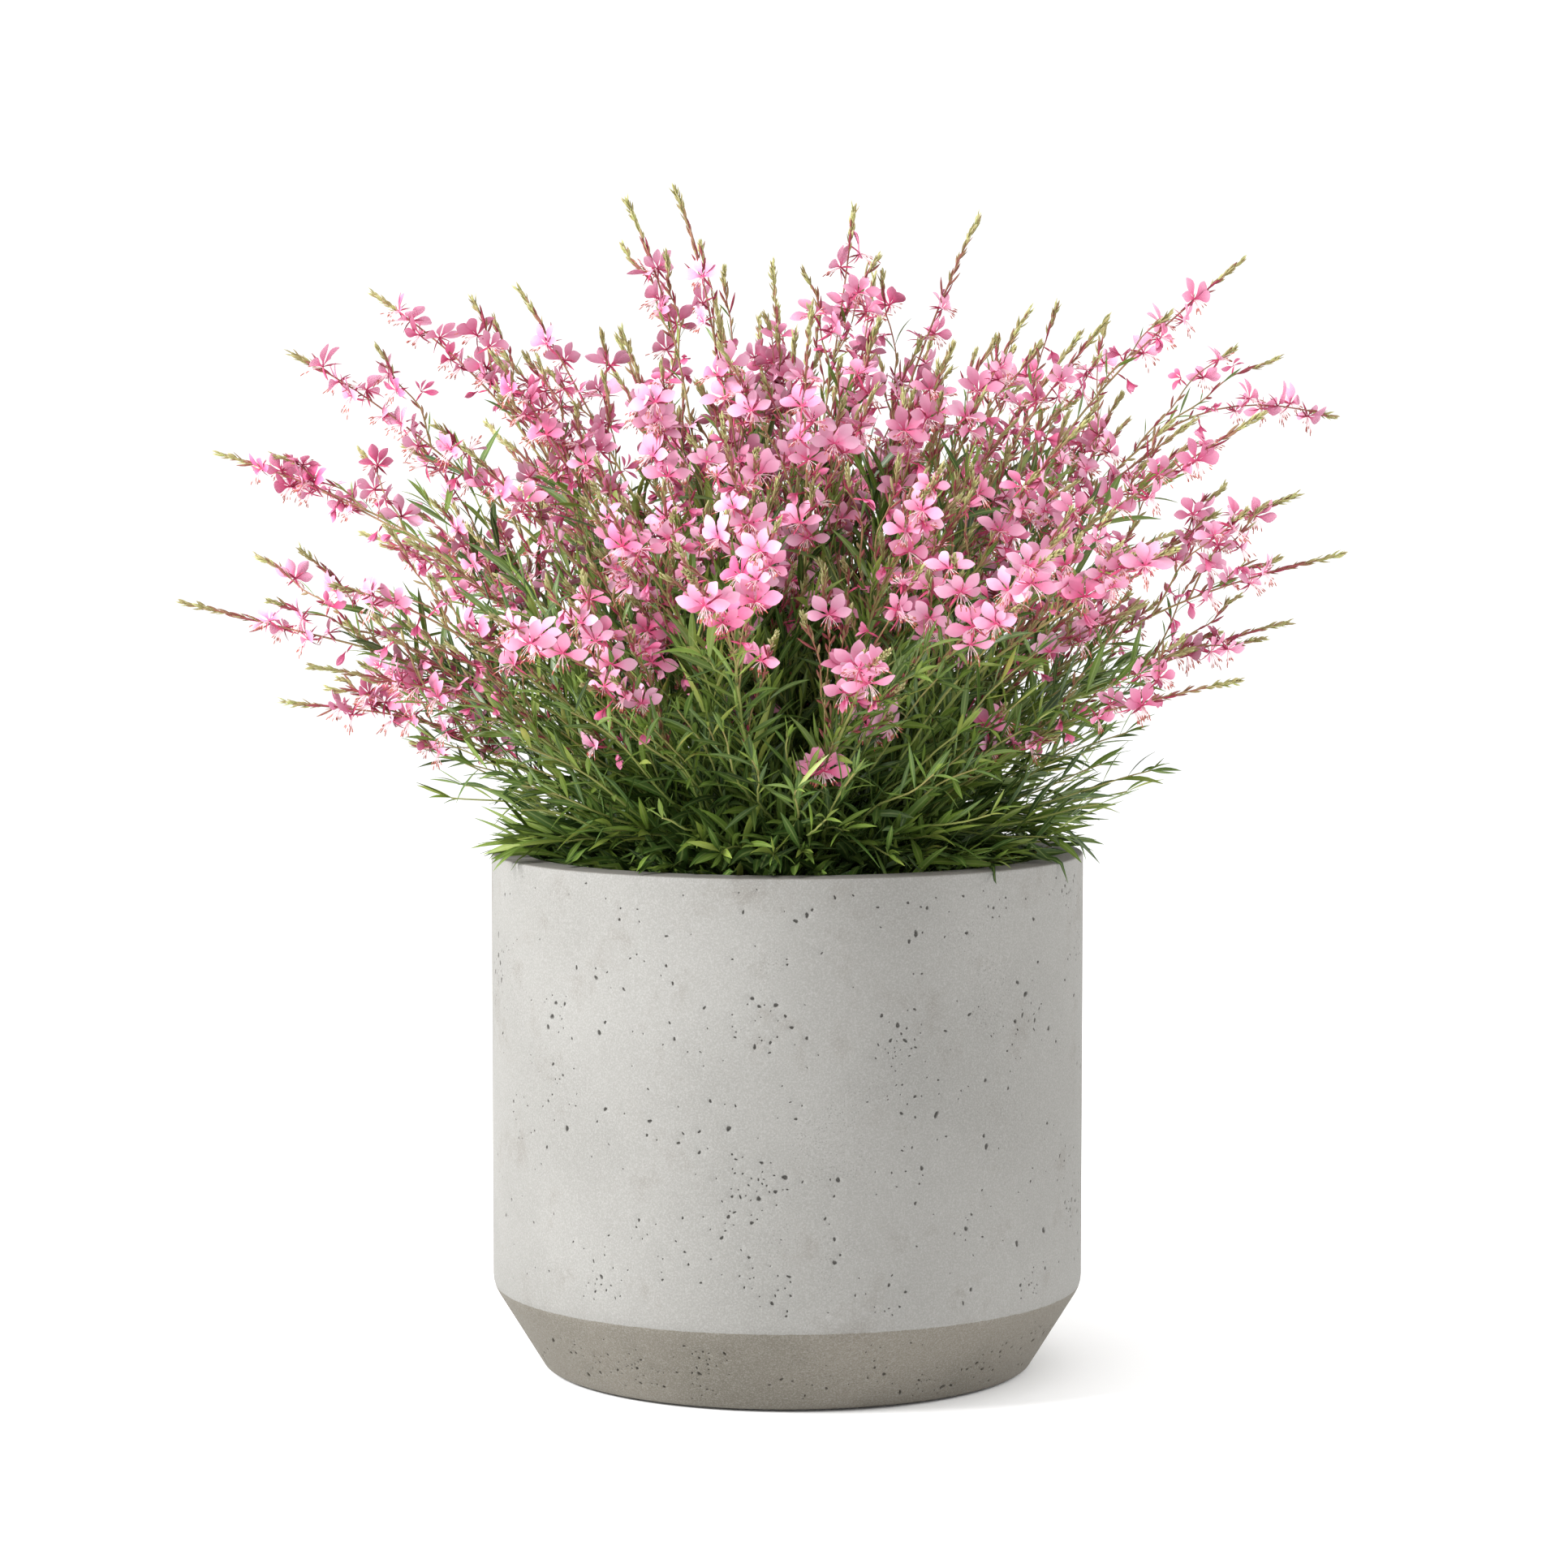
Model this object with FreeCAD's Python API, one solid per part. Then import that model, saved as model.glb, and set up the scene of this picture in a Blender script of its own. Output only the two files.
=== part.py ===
import FreeCAD, Part
import math
import os
from FreeCAD import Vector

# A round concrete planter with a lift-out grow pot and a flowering gaura in it.
# Millimetres, +Z up. The origin is on the floor, on the planter's own axis,
# and the front of the plant faces -Y.

# ---------------------------------------------------------------- driving sizes

OUTER_DIAMETER = 400.0
HEIGHT = 350.0
RIM_WIDTH = 25.0
TAPER_HEIGHT = 58.0
BASE_DIAMETER = 330.0
FLOOR_THICKNESS = 30.0
RIM_OUTER_ROUND = 1.6
RIM_INNER_ROUND = 2.5
SHOULDER_ROUND = 20.0
BASE_ROUND = 5.0
INSIDE_CORNER_ROUND = 8.0

PAD_PROUD = 1.5
PAD_THICKNESS = 4.0
PAD_RADIUS = 14.0
PAD_COUNT = 4
PAD_CIRCLE_RADIUS = 120.0
PAD_FIRST_AZIMUTH = 45.0
PAD_CLEARANCE = 0.3

DRAIN_RADIUS = 12.5
DRAIN_CLEARANCE = 0.05
PLUG_TOP_BELOW_FLOOR = 0.5
PLUG_TOP_CHAMFER = 3.0
PLUG_HEAD_RADIUS = 19.0
PLUG_HEAD_THICKNESS = 6.0
PLUG_DISH_RADIUS = 9.0
PLUG_DISH_DEPTH = 3.0
PLUG_RECESS_RADIUS = 22.0
PLUG_RECESS_DEPTH = 8.0

LINER_WALL = 2.5
LINER_LIP_RADIUS = 173.0
LINER_TOP_BELOW_RIM = 12.0
LINER_LIP_DEPTH = 6.0
LINER_TOP_RADIUS = 167.0
LINER_BASE_RADIUS = 146.0
LINER_FOOT_HEIGHT = 8.0
LINER_FOOT_COUNT = 8
LINER_FOOT_CIRCLE = 126.0
LINER_FOOT_LENGTH = 24.0
LINER_FOOT_WIDTH = 14.0
LINER_HOLE_RADIUS = 6.0
LINER_HOLE_COUNT = 8
HAND_SLOT_LENGTH = 80.0
HAND_SLOT_HEIGHT = 12.0

SOIL_BELOW_RIM = 32.0
DRAINAGE_DEPTH = 40.0
FLEECE_THICKNESS = 1.5
PACKING_GAP = 0.4
PEBBLE_GAP = 1.5

ROOT_BALL_TOP_RADIUS = 105.0
ROOT_BALL_BASE_RADIUS = 84.0
ROOT_BALL_DEPTH = 170.0
CROWN_RADIUS = 64.0
CROWN_HEIGHT = 9.0
CROWN_CHAMFER = 4.0
CROWN_SPREAD = 56.0
SHOOT_EMBED = 3.0

# ------------------------------------------------------------ worked-out levels

OUTER_RADIUS = OUTER_DIAMETER / 2
INNER_RADIUS = OUTER_RADIUS - RIM_WIDTH
BASE_RADIUS = BASE_DIAMETER / 2
UNDERSIDE = PAD_PROUD
FLOOR_TOP = UNDERSIDE + FLOOR_THICKNESS
LINER_TOP = HEIGHT - LINER_TOP_BELOW_RIM
LINER_BASE = FLOOR_TOP + LINER_FOOT_HEIGHT
LINER_FLOOR = LINER_BASE + LINER_WALL
SOIL_TOP = HEIGHT - SOIL_BELOW_RIM
HAND_SLOT_BOTTOM = SOIL_TOP + 1
DRAINAGE_TOP = LINER_FLOOR + DRAINAGE_DEPTH
FLEECE_TOP = DRAINAGE_TOP + FLEECE_THICKNESS
ROOT_BALL_BASE = SOIL_TOP - ROOT_BALL_DEPTH
CROWN_TOP = SOIL_TOP + CROWN_HEIGHT

AXIS = Vector(0, 0, 1)
CENTRE = Vector(0, 0, 0)
FULL_TURN = 360.0

# ------------------------------------------------------------- the plant's tips
# Each wand is named by where its tip is: x, y and z in millimetres.

TALL_TIPS = [
    (-110, 60, 790), (-75, -20, 794), (-10, 110, 750), (45, -10, 782), (15, -190, 710),
    (105, 150, 708), (107, -120, 688), (130, 40, 778), (156, -110, 710), (-106, -150, 696),
    (-20, 215, 715), (5, 40, 700), (60, 75, 740), (-50, 60, 725), (-45, -95, 705), (60, -60, 705),
]
SPREADING_TIPS = [
    (-190, -120, 682), (-182, 30, 730), (-217, 220, 640), (-203, -200, 622), (180, 190, 696),
    (197, 10, 698), (210, -60, 706), (-120, 170, 700), (110, 270, 660), (-40, -290, 640),
    (95, -255, 610), (190, -205, 640), (-120, -270, 600), (-90, 320, 640), (10, 330, 665),
    (-200, 110, 690), (215, 110, 650), (-30, -200, 600), (-130, -180, 590), (120, -170, 600),
]
ARCHING_TIPS = [
    (-400, -60, 520), (-305, -150, 482), (-390, 60, 618), (-375, 150, 610), (-328, -40, 684),
    (-286, 95, 728), (312, 70, 750), (394, 215, 644), (306, -130, 644), (345, 20, 590),
    (268, -60, 640), (362, -90, 552), (287, -175, 474), (-284, -225, 536), (-180, -300, 520),
    (-60, -384, 550), (60, -345, 500), (165, -320, 560), (240, -265, 560), (-310, 245, 560),
    (-200, 330, 590), (-70, 385, 560), (60, 380, 610), (190, 325, 600), (290, 280, 560),
    (350, 110, 500), (-340, 10, 450), (-250, -60, 560), (230, -120, 520), (-130, 262, 520),
]
# Leafy shoots stand in rings: reach and height of the tips, then the azimuth of each
# shoot in degrees, chosen where the wands leave room.
LEAFY_RINGS = [
    (230, 390, [0, 28, 56, 84, 110, 138, 166, 194, 222, 250, 276, 304, 332]),
    (205, 440, [0, 32, 62, 90, 126, 150, 180, 210, 244, 270, 302, 334]),
    (165, 475, [0, 36, 72, 112, 144, 180, 216, 254, 284, 324]),
    (100, 500, [14, 46, 106, 160, 202, 258, 308]),
]

# -------------------------------------------------------------------- utilities


def outline(corners):
    """A closed face in the X-Z plane: each corner is x, z and the radius that rounds it."""
    points = [Vector(x, 0, z) for x, z, _ in corners]
    edges = []
    ends = []
    for i, (_, _, radius) in enumerate(corners):
        here = points[i]
        back = (points[i - 1] - here).normalize()
        on = (points[(i + 1) % len(points)] - here).normalize()
        if radius == 0:
            ends.append((here, here))
            continue
        half = back.getAngle(on) / 2
        reach = radius / math.tan(half)
        middle = here + (back + on).normalize() * (radius / math.sin(half) - radius)
        start = here + back * reach
        stop = here + on * reach
        ends.append((start, stop))
        edges.append(Part.Arc(start, middle, stop).toShape())
    for i, (start, _) in enumerate(ends):
        before = ends[i - 1][1]
        if before.distanceToPoint(start) > 1e-6:
            edges.append(Part.LineSegment(before, start).toShape())
    return Part.Face(Part.Wire(Part.sortEdges(edges)[0]))


def turned(corners):
    """The solid that an outline sweeps in one full turn about the planter's axis."""
    return outline(corners).revolve(CENTRE, AXIS, FULL_TURN)


def around(count, radius, first_degrees=0.0):
    """Evenly spaced points on a circle, with the angle of each in degrees."""
    for i in range(count):
        degrees = first_degrees + i * FULL_TURN / count
        angle = math.radians(degrees)
        yield degrees, radius * math.cos(angle), radius * math.sin(angle)


def upright(radius, bottom, top, x=0.0, y=0.0):
    return Part.makeCylinder(radius, top - bottom, Vector(x, y, bottom), AXIS)


def save(name, shapes):
    """One STEP file: a single solid, or a group of separate ones."""
    solids = [solid for shape in shapes for solid in shape.Solids]
    whole = solids[0] if len(solids) == 1 else Part.makeCompound(solids)
    whole.exportStep(os.path.join("parts", name + ".step"))
    volume = sum(solid.Volume for solid in solids) / 1e6
    print(f"{name:26s} solids {len(solids):3d}  litres {volume:8.3f}  valid {whole.isValid()}")


# ------------------------------------------------------------------ the planter


def planter_shell():
    """The casting: upright wall, tapered foot, flat rim, drain hole and foot recesses."""
    slope = (OUTER_RADIUS - BASE_RADIUS) / (TAPER_HEIGHT - UNDERSIDE)
    length = math.hypot(1, slope)
    inner_base = BASE_RADIUS - RIM_WIDTH * length + slope * FLOOR_THICKNESS
    inner_shoulder = FLOOR_TOP + (INNER_RADIUS - inner_base) / slope
    shell = turned([
        (DRAIN_RADIUS, UNDERSIDE, 0),
        (BASE_RADIUS, UNDERSIDE, BASE_ROUND),
        (OUTER_RADIUS, TAPER_HEIGHT, SHOULDER_ROUND),
        (OUTER_RADIUS, HEIGHT, RIM_OUTER_ROUND),
        (INNER_RADIUS, HEIGHT, RIM_INNER_ROUND),
        (INNER_RADIUS, inner_shoulder, SHOULDER_ROUND),
        (inner_base, FLOOR_TOP, INSIDE_CORNER_ROUND),
        (DRAIN_RADIUS, FLOOR_TOP, 0),
    ])
    shell = shell.cut(upright(PLUG_RECESS_RADIUS, 0, UNDERSIDE + PLUG_RECESS_DEPTH))
    for _, x, y in around(PAD_COUNT, PAD_CIRCLE_RADIUS, PAD_FIRST_AZIMUTH):
        shell = shell.cut(upright(PAD_RADIUS + PAD_CLEARANCE, 0, PAD_THICKNESS, x, y))
    return shell


def foot_pads():
    """Rubber discs set in the underside, standing a little proud of it."""
    pads = []
    for _, x, y in around(PAD_COUNT, PAD_CIRCLE_RADIUS, PAD_FIRST_AZIMUTH):
        pads.append(upright(PAD_RADIUS, 0, PAD_THICKNESS, x, y))
    return pads


def drain_plug():
    """A rubber bung pushed up into the drain hole, with a dished head in the recess."""
    head_top = UNDERSIDE + PLUG_RECESS_DEPTH
    head_bottom = head_top - PLUG_HEAD_THICKNESS
    stem_radius = DRAIN_RADIUS - DRAIN_CLEARANCE
    stem_top = FLOOR_TOP - PLUG_TOP_BELOW_FLOOR
    return turned([
        (0, head_bottom + PLUG_DISH_DEPTH, 0),
        (PLUG_DISH_RADIUS - 2, head_bottom + PLUG_DISH_DEPTH, 0),
        (PLUG_DISH_RADIUS, head_bottom, 1),
        (PLUG_HEAD_RADIUS, head_bottom, 1.5),
        (PLUG_HEAD_RADIUS, head_top, 1),
        (stem_radius, head_top, 0),
        (stem_radius, stem_top - PLUG_TOP_CHAMFER, 0),
        (stem_radius - 2, stem_top, 0),
        (0, stem_top, 0),
    ])


# ----------------------------------------------------- the grow pot and its fill


def liner_outer(z):
    """The grow pot's outside radius at a height below its lip."""
    share = (z - LINER_BASE) / (LINER_TOP - LINER_BASE)
    return LINER_BASE_RADIUS + share * (LINER_TOP_RADIUS - LINER_BASE_RADIUS)


def liner_inner(z):
    return liner_outer(z) - LINER_WALL


def grow_pot():
    """The lift-out pot: thin tapered wall, turned-out lip, feet, drain holes and hand slots."""
    lip_under = LINER_TOP - LINER_LIP_DEPTH
    pot = turned([
        (0, LINER_BASE, 0),
        (LINER_BASE_RADIUS, LINER_BASE, 3),
        (liner_outer(lip_under), lip_under, 0),
        (LINER_LIP_RADIUS, lip_under, 1),
        (LINER_LIP_RADIUS, LINER_TOP, 1.5),
        (liner_inner(LINER_TOP), LINER_TOP, 1),
        (liner_inner(LINER_FLOOR), LINER_FLOOR, 1),
        (0, LINER_FLOOR, 0),
    ])
    between_feet = FULL_TURN / LINER_FOOT_COUNT / 2
    for degrees, x, y in around(LINER_FOOT_COUNT, LINER_FOOT_CIRCLE, between_feet):
        corner = Vector(-LINER_FOOT_LENGTH / 2, -LINER_FOOT_WIDTH / 2, 0)
        foot = Part.makeBox(LINER_FOOT_LENGTH, LINER_FOOT_WIDTH, LINER_FOOT_HEIGHT + 0.5, corner)
        foot.rotate(CENTRE, AXIS, degrees)
        foot.translate(Vector(x, y, FLOOR_TOP))
        pot = pot.fuse(foot)
    for _, x, y in around(LINER_HOLE_COUNT, LINER_FOOT_CIRCLE):
        pot = pot.cut(upright(LINER_HOLE_RADIUS, LINER_BASE - 1, LINER_FLOOR + 1, x, y))
    pot = pot.cut(upright(LINER_HOLE_RADIUS, LINER_BASE - 1, LINER_FLOOR + 1))
    slot = Part.makeBox(2 * OUTER_RADIUS, HAND_SLOT_LENGTH, HAND_SLOT_HEIGHT)
    slot.translate(Vector(-OUTER_RADIUS, -HAND_SLOT_LENGTH / 2, HAND_SLOT_BOTTOM))
    return pot.cut(slot).removeSplitter()


def packed_layer(bottom, top, gap):
    """A layer that fills the grow pot between two levels, clear of its wall by a gap."""
    return turned([
        (0, bottom, 0),
        (liner_inner(bottom) - gap, bottom, 0),
        (liner_inner(top) - gap, top, 0),
        (0, top, 0),
    ])


def root_ball_shape(grow=0.0):
    return turned([
        (0, ROOT_BALL_BASE - grow, 0),
        (ROOT_BALL_BASE_RADIUS + grow, ROOT_BALL_BASE - grow, 0),
        (ROOT_BALL_TOP_RADIUS + grow, SOIL_TOP, 0),
        (0, SOIL_TOP, 0),
    ])


def substrate():
    """Potting mix above the fleece, with the pocket that the root ball was planted in."""
    return packed_layer(FLEECE_TOP, SOIL_TOP, PACKING_GAP).cut(root_ball_shape(PACKING_GAP))


def root_crown():
    """The low woody crown at soil level that every shoot grows from."""
    return turned([
        (0, SOIL_TOP, 0),
        (CROWN_RADIUS, SOIL_TOP, 0),
        (CROWN_RADIUS - CROWN_CHAMFER, CROWN_TOP, 0),
        (0, CROWN_TOP, 0),
    ])


# -------------------------------------------------------------------- the shoots

HEXAGON = 6
WIDEST_LEAN = math.radians(75)

# share of the length from the crown, radius of the shoot with what grows on it
WAND_FORM = [(0, 1.6), (0.4, 3.8), (0.72, 5.2), (0.9, 4.0), (1, 1.0)]
LEAFY_FORM = [(0, 1.6), (0.3, 3.8), (0.6, 5.6), (0.85, 4.2), (1, 1.0)]


def crown_point(tip):
    """Where a shoot leaves the crown: the more it leans, the further out it starts."""
    reach = math.hypot(tip.x, tip.y)
    lean = math.atan2(reach, tip.z - CROWN_TOP)
    out = CROWN_SPREAD * lean / WIDEST_LEAN
    return Vector(tip.x / reach * out, tip.y / reach * out, CROWN_TOP - SHOOT_EMBED)


def shoot(tip, form):
    """A slender convex hull about a shoot: hexagons square to its line, lofted flat to flat."""
    start = crown_point(tip)
    length = tip - start
    along = Vector(length).normalize()
    side = along.cross(AXIS).normalize()
    above = side.cross(along)
    rings = []
    for share, radius in form:
        middle = start + length * share
        ring = []
        for i in range(HEXAGON):
            angle = 2 * math.pi * i / HEXAGON
            ring.append(middle + side * (radius * math.cos(angle)) + above * (radius * math.sin(angle)))
        rings.append(ring)
    faces = [flat_face(rings[0]), flat_face(rings[-1])]
    for lower, upper in zip(rings, rings[1:]):
        for i in range(HEXAGON):
            j = (i + 1) % HEXAGON
            faces.append(flat_face([lower[i], lower[j], upper[j], upper[i]]))
    solid = Part.Solid(Part.Shell(faces))
    if solid.Volume < 0:
        solid.reverse()
    return solid


def flat_face(points):
    return Part.Face(Part.makePolygon(points + points[:1]))


def quarter(tip):
    """Which side of the plant a tip is on."""
    if abs(tip.x) > abs(tip.y):
        return "right" if tip.x > 0 else "left"
    return "back" if tip.y > 0 else "front"


def leafy_tips():
    for reach, height, azimuths in LEAFY_RINGS:
        for degrees in azimuths:
            angle = math.radians(degrees)
            yield Vector(reach * math.cos(angle), reach * math.sin(angle), height)


def shoot_groups():
    """Every shoot of the plant, grouped by kind and by side: node name to solids."""
    kinds = [
        ("tall_wands", [Vector(*tip) for tip in TALL_TIPS], WAND_FORM),
        ("spreading_wands", [Vector(*tip) for tip in SPREADING_TIPS], WAND_FORM),
        ("arching_wands", [Vector(*tip) for tip in ARCHING_TIPS], WAND_FORM),
        ("leafy_shoots", list(leafy_tips()), LEAFY_FORM),
    ]
    groups = {}
    for kind, tips, form in kinds:
        for tip in tips:
            groups.setdefault(kind + "_" + quarter(tip), []).append(shoot(tip, form))
    return groups


# --------------------------------------------------------------------- the parts


def main():
    os.makedirs("parts", exist_ok=True)
    save("planter_shell", [planter_shell()])
    save("foot_pads", foot_pads())
    save("drain_plug", [drain_plug()])
    save("grow_pot", [grow_pot()])
    save("drainage_layer", [packed_layer(LINER_FLOOR, DRAINAGE_TOP, PEBBLE_GAP)])
    save("filter_fleece", [packed_layer(DRAINAGE_TOP, FLEECE_TOP, PACKING_GAP)])
    save("substrate", [substrate()])
    save("root_ball", [root_ball_shape()])
    save("root_crown", [root_crown()])
    for name, solids in sorted(shoot_groups().items()):
        save(name, solids)


main()
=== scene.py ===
"""The looks of a round concrete planter with a gaura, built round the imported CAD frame."""

import itertools
import math

import bpy
import numpy as np
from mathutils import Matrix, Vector, geometry


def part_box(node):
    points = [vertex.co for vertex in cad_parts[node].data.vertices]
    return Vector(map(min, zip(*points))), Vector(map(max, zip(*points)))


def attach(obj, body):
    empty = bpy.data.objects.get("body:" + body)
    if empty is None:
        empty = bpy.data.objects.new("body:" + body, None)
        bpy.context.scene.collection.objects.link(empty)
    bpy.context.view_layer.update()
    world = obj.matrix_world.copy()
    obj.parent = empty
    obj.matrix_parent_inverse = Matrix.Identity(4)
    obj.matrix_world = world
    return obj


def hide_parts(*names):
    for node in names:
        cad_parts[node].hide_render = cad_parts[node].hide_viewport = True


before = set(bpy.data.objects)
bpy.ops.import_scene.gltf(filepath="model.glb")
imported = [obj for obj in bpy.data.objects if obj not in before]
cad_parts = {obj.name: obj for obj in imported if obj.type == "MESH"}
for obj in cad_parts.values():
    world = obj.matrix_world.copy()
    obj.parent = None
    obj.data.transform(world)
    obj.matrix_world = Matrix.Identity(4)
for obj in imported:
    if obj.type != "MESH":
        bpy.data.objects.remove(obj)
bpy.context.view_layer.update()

MM = 0.001
UP = np.array([0.0, 0.0, 1.0])
DOWN = -UP
GOLDEN = math.radians(137.5)

# ------------------------------------------------------------------ the casting's own sizes
OUTER_RADIUS = 200 * MM
INNER_RADIUS = 175 * MM
HEIGHT = 350 * MM
UNDERSIDE = 1.5 * MM
FLOOR_TOP = 31.5 * MM
SHOULDER = 58 * MM
BASE_RADIUS = 165 * MM
DRAIN_RADIUS = 12.5 * MM
PLUG_RECESS_RADIUS = 22 * MM
PLUG_RECESS_TOP = 9.5 * MM
PAD_RECESS_RADIUS = 14.3 * MM
PAD_RECESS_TOP = 4 * MM
PAD_CIRCLE = 120 * MM
SOIL_TOP = 318 * MM
POCKET_FLOOR = 147.6 * MM
LIP_TOP = 338 * MM


# ----------------------------------------------------------------------------- arithmetic


def unit(v):
    return v / np.maximum(np.linalg.norm(v, axis=-1, keepdims=True), 1e-12)


def square_to(v, axis):
    """The part of v that is square to a unit axis, made one long."""
    return unit(v - np.sum(v * axis, axis=-1, keepdims=True) * axis)


def spread(values):
    """A row of numbers as a column, to scale a row of vectors."""
    return np.asarray(values, float)[..., None]


def outward_at(angle):
    """The level direction away from the planter's axis at an angle from +X."""
    return np.array([math.cos(angle), math.sin(angle), 0.0])


def leaning(forward, aside, lean):
    """A direction turned by lean from forward towards aside."""
    return forward * math.cos(lean) + aside * math.sin(lean)


def smooth_noise(rng, x, y, cell):
    """Smooth random heights from -1 to 1 on a grid of that cell size."""
    table = rng.uniform(-1, 1, (64, 64))
    u, v = np.asarray(x) / cell, np.asarray(y) / cell
    i, j = np.floor(u).astype(int), np.floor(v).astype(int)
    fu, fv = u - i, v - j
    fu, fv = fu * fu * (3 - 2 * fu), fv * fv * (3 - 2 * fv)
    at = lambda a, b: table[a % 64, b % 64]
    near = at(i, j) * (1 - fu) + at(i + 1, j) * fu
    far = at(i, j + 1) * (1 - fu) + at(i + 1, j + 1) * fu
    return near * (1 - fv) + far * fv


# ------------------------------------------------------------------------- mesh gathering


class Batch:
    """Many small closed bodies gathered into one mesh, with a painted vector at each vertex."""

    def __init__(self):
        self.points = []
        self.paint = []
        self.faces = []
        self.count = 0

    def add(self, points, faces, paint=(0.0, 0.0, 0.0)):
        points = np.reshape(points, (-1, 3))
        self.points.append(points)
        self.paint.append(np.broadcast_to(np.asarray(paint, float), points.shape))
        self.faces += [f + self.count for f in faces if len(f)]
        self.count += len(points)

    def build(self, name, material, crease=55):
        points = np.concatenate(self.points)
        corners = np.concatenate([f.ravel() for f in self.faces])
        sizes = np.concatenate([np.full(len(f), f.shape[1]) for f in self.faces])
        mesh = bpy.data.meshes.new(name)
        mesh.vertices.add(len(points))
        mesh.vertices.foreach_set("co", points.ravel())
        mesh.loops.add(len(corners))
        mesh.loops.foreach_set("vertex_index", corners)
        mesh.polygons.add(len(sizes))
        mesh.polygons.foreach_set("loop_start", np.cumsum(sizes) - sizes)
        mesh.update(calc_edges=True)
        mesh.polygons.foreach_set("use_smooth", np.ones(len(sizes), bool))
        paint = mesh.attributes.new("paint", "FLOAT_VECTOR", "POINT")
        paint.data.foreach_set("vector", np.concatenate(self.paint).ravel())
        mesh.set_sharp_from_angle(angle=math.radians(crease))
        mesh.materials.append(material)
        piece = bpy.data.objects.new(name, mesh)
        bpy.context.scene.collection.objects.link(piece)
        return piece


def place(piece, body, slot, *nodes):
    """Hangs a finished piece on the body it rides on and hides the CAD nodes it stands for; the slot argument
    is not used.
    """
    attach(piece, body)
    if nodes:
        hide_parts(*nodes)


def sweep(batch, spine, across, above, width, depth, section, tone):
    """Closed bodies swept along spines (bodies x stations x 3), where across x above is forward.
    Each section point is: side and lift in widths, up in depths."""
    bodies, stations = spine.shape[:2]
    ring = len(section)
    side, up, lift = np.asarray(section, float).T
    w = width[:, :, None, None]
    d = depth[:, :, None, None]
    rings = spine[:, :, None] + across[:, :, None] * (w * side[:, None])
    rings = rings + above[:, :, None] * (d * up[:, None] + w * lift[:, None])
    body = [rings.reshape(bodies, stations * ring, 3), spine[:, :1], spine[:, -1:]]
    points = np.concatenate(body, axis=1)

    along = np.linspace(0, 1, stations)
    paint = np.zeros((bodies, stations * ring + 2, 3))
    paint[:, :, 0] = np.asarray(tone)[:, None]
    paint[:, :-2, 1] = np.repeat(along, ring)
    paint[:, -1, 1] = 1.0
    paint[:, :-2, 2] = np.tile(np.abs(side), stations)

    i = np.arange(ring)
    j = (i + 1) % ring
    rows = np.arange(stations - 1)[:, None] * ring
    last = (stations - 1) * ring
    foot, tip = stations * ring, stations * ring + 1
    quads = np.stack([rows + i, rows + j, rows + ring + j, rows + ring + i], -1).reshape(-1, 4)
    caps = np.concatenate([
        np.stack([j, i, np.full(ring, foot)], -1),
        np.stack([last + i, last + j, np.full(ring, tip)], -1),
    ])
    starts = np.arange(bodies)[:, None, None] * (stations * ring + 2)
    faces = [(quads + starts).reshape(-1, 4), (caps + starts).reshape(-1, 3)]
    batch.add(points.reshape(-1, 3), faces, paint.reshape(-1, 3))


def arcs(start, heading, toward, length, bend, roll, stations):
    """Curves that leave start along heading and turn evenly, by bend, towards a direction."""
    heading = unit(heading)
    toward = square_to(toward, heading)
    bend = np.where(np.abs(bend) < 1e-3, 1e-3, bend)
    t = np.linspace(0, 1, stations)
    angle = bend[:, None] * t
    s, c = np.sin(angle)[..., None], np.cos(angle)[..., None]
    scale = (length / bend)[:, None, None]
    spine = start[:, None] + scale * (s * heading[:, None] + (1 - c) * toward[:, None])
    above = s * heading[:, None] - c * toward[:, None]
    across = np.broadcast_to(np.cross(heading, toward)[:, None], above.shape)
    cr, sr = np.cos(roll)[:, None, None], np.sin(roll)[:, None, None]
    return spine, across * cr + above * sr, above * cr - across * sr


class Organs:
    """Leaves, petals, buds or threads of one form, listed one by one and swept together."""

    def __init__(self, form, section, thickness):
        self.form = np.asarray(form, float)
        self.section = section
        self.thickness = thickness
        self.rows = []

    def add(self, start, heading, toward, length, width, bend=0.0, roll=0.0, tone=0.5):
        self.rows.append((*start, *heading, *toward, length, width, bend, roll, tone))

    def sweep_into(self, batch, settle=None):
        if not self.rows:
            return
        rows = np.array(self.rows)
        start, heading, toward = rows[:, 0:3], rows[:, 3:6], rows[:, 6:9]
        length, width, bend, roll, tone = rows[:, 9:14].T
        stations = len(self.form)
        spine, across, above = arcs(start, heading, toward, length, bend, roll, stations)
        if settle:
            spine = settle(spine)
        half = width[:, None] / 2 * self.form
        depth = np.maximum(self.thickness * half, 0.00012) if self.thickness else half
        sweep(batch, spine, across, above, half, depth, self.section, tone)


# section points: side and lift in half widths, up in half thicknesses
ROUND_6 = [(math.cos(a), math.sin(a), 0) for a in np.arange(6) * math.pi / 3]
ROUND_5 = [(math.cos(a), math.sin(a), 0) for a in np.arange(5) * math.tau / 5]
ROUND_3 = [(math.cos(a), math.sin(a), 0) for a in np.arange(3) * math.tau / 3]
FOLDED = [(1, 0, 0.30), (0, 1, 0), (-1, 0, 0.30), (0, -1, 0)]
CUPPED = [
    (1, 0, 0.22), (0.55, 1, 0.07), (0, 1, 0), (-0.55, 1, 0.07),
    (-1, 0, 0.22), (-0.55, -1, 0.07), (0, -1, 0), (0.55, -1, 0.07),
]

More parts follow.
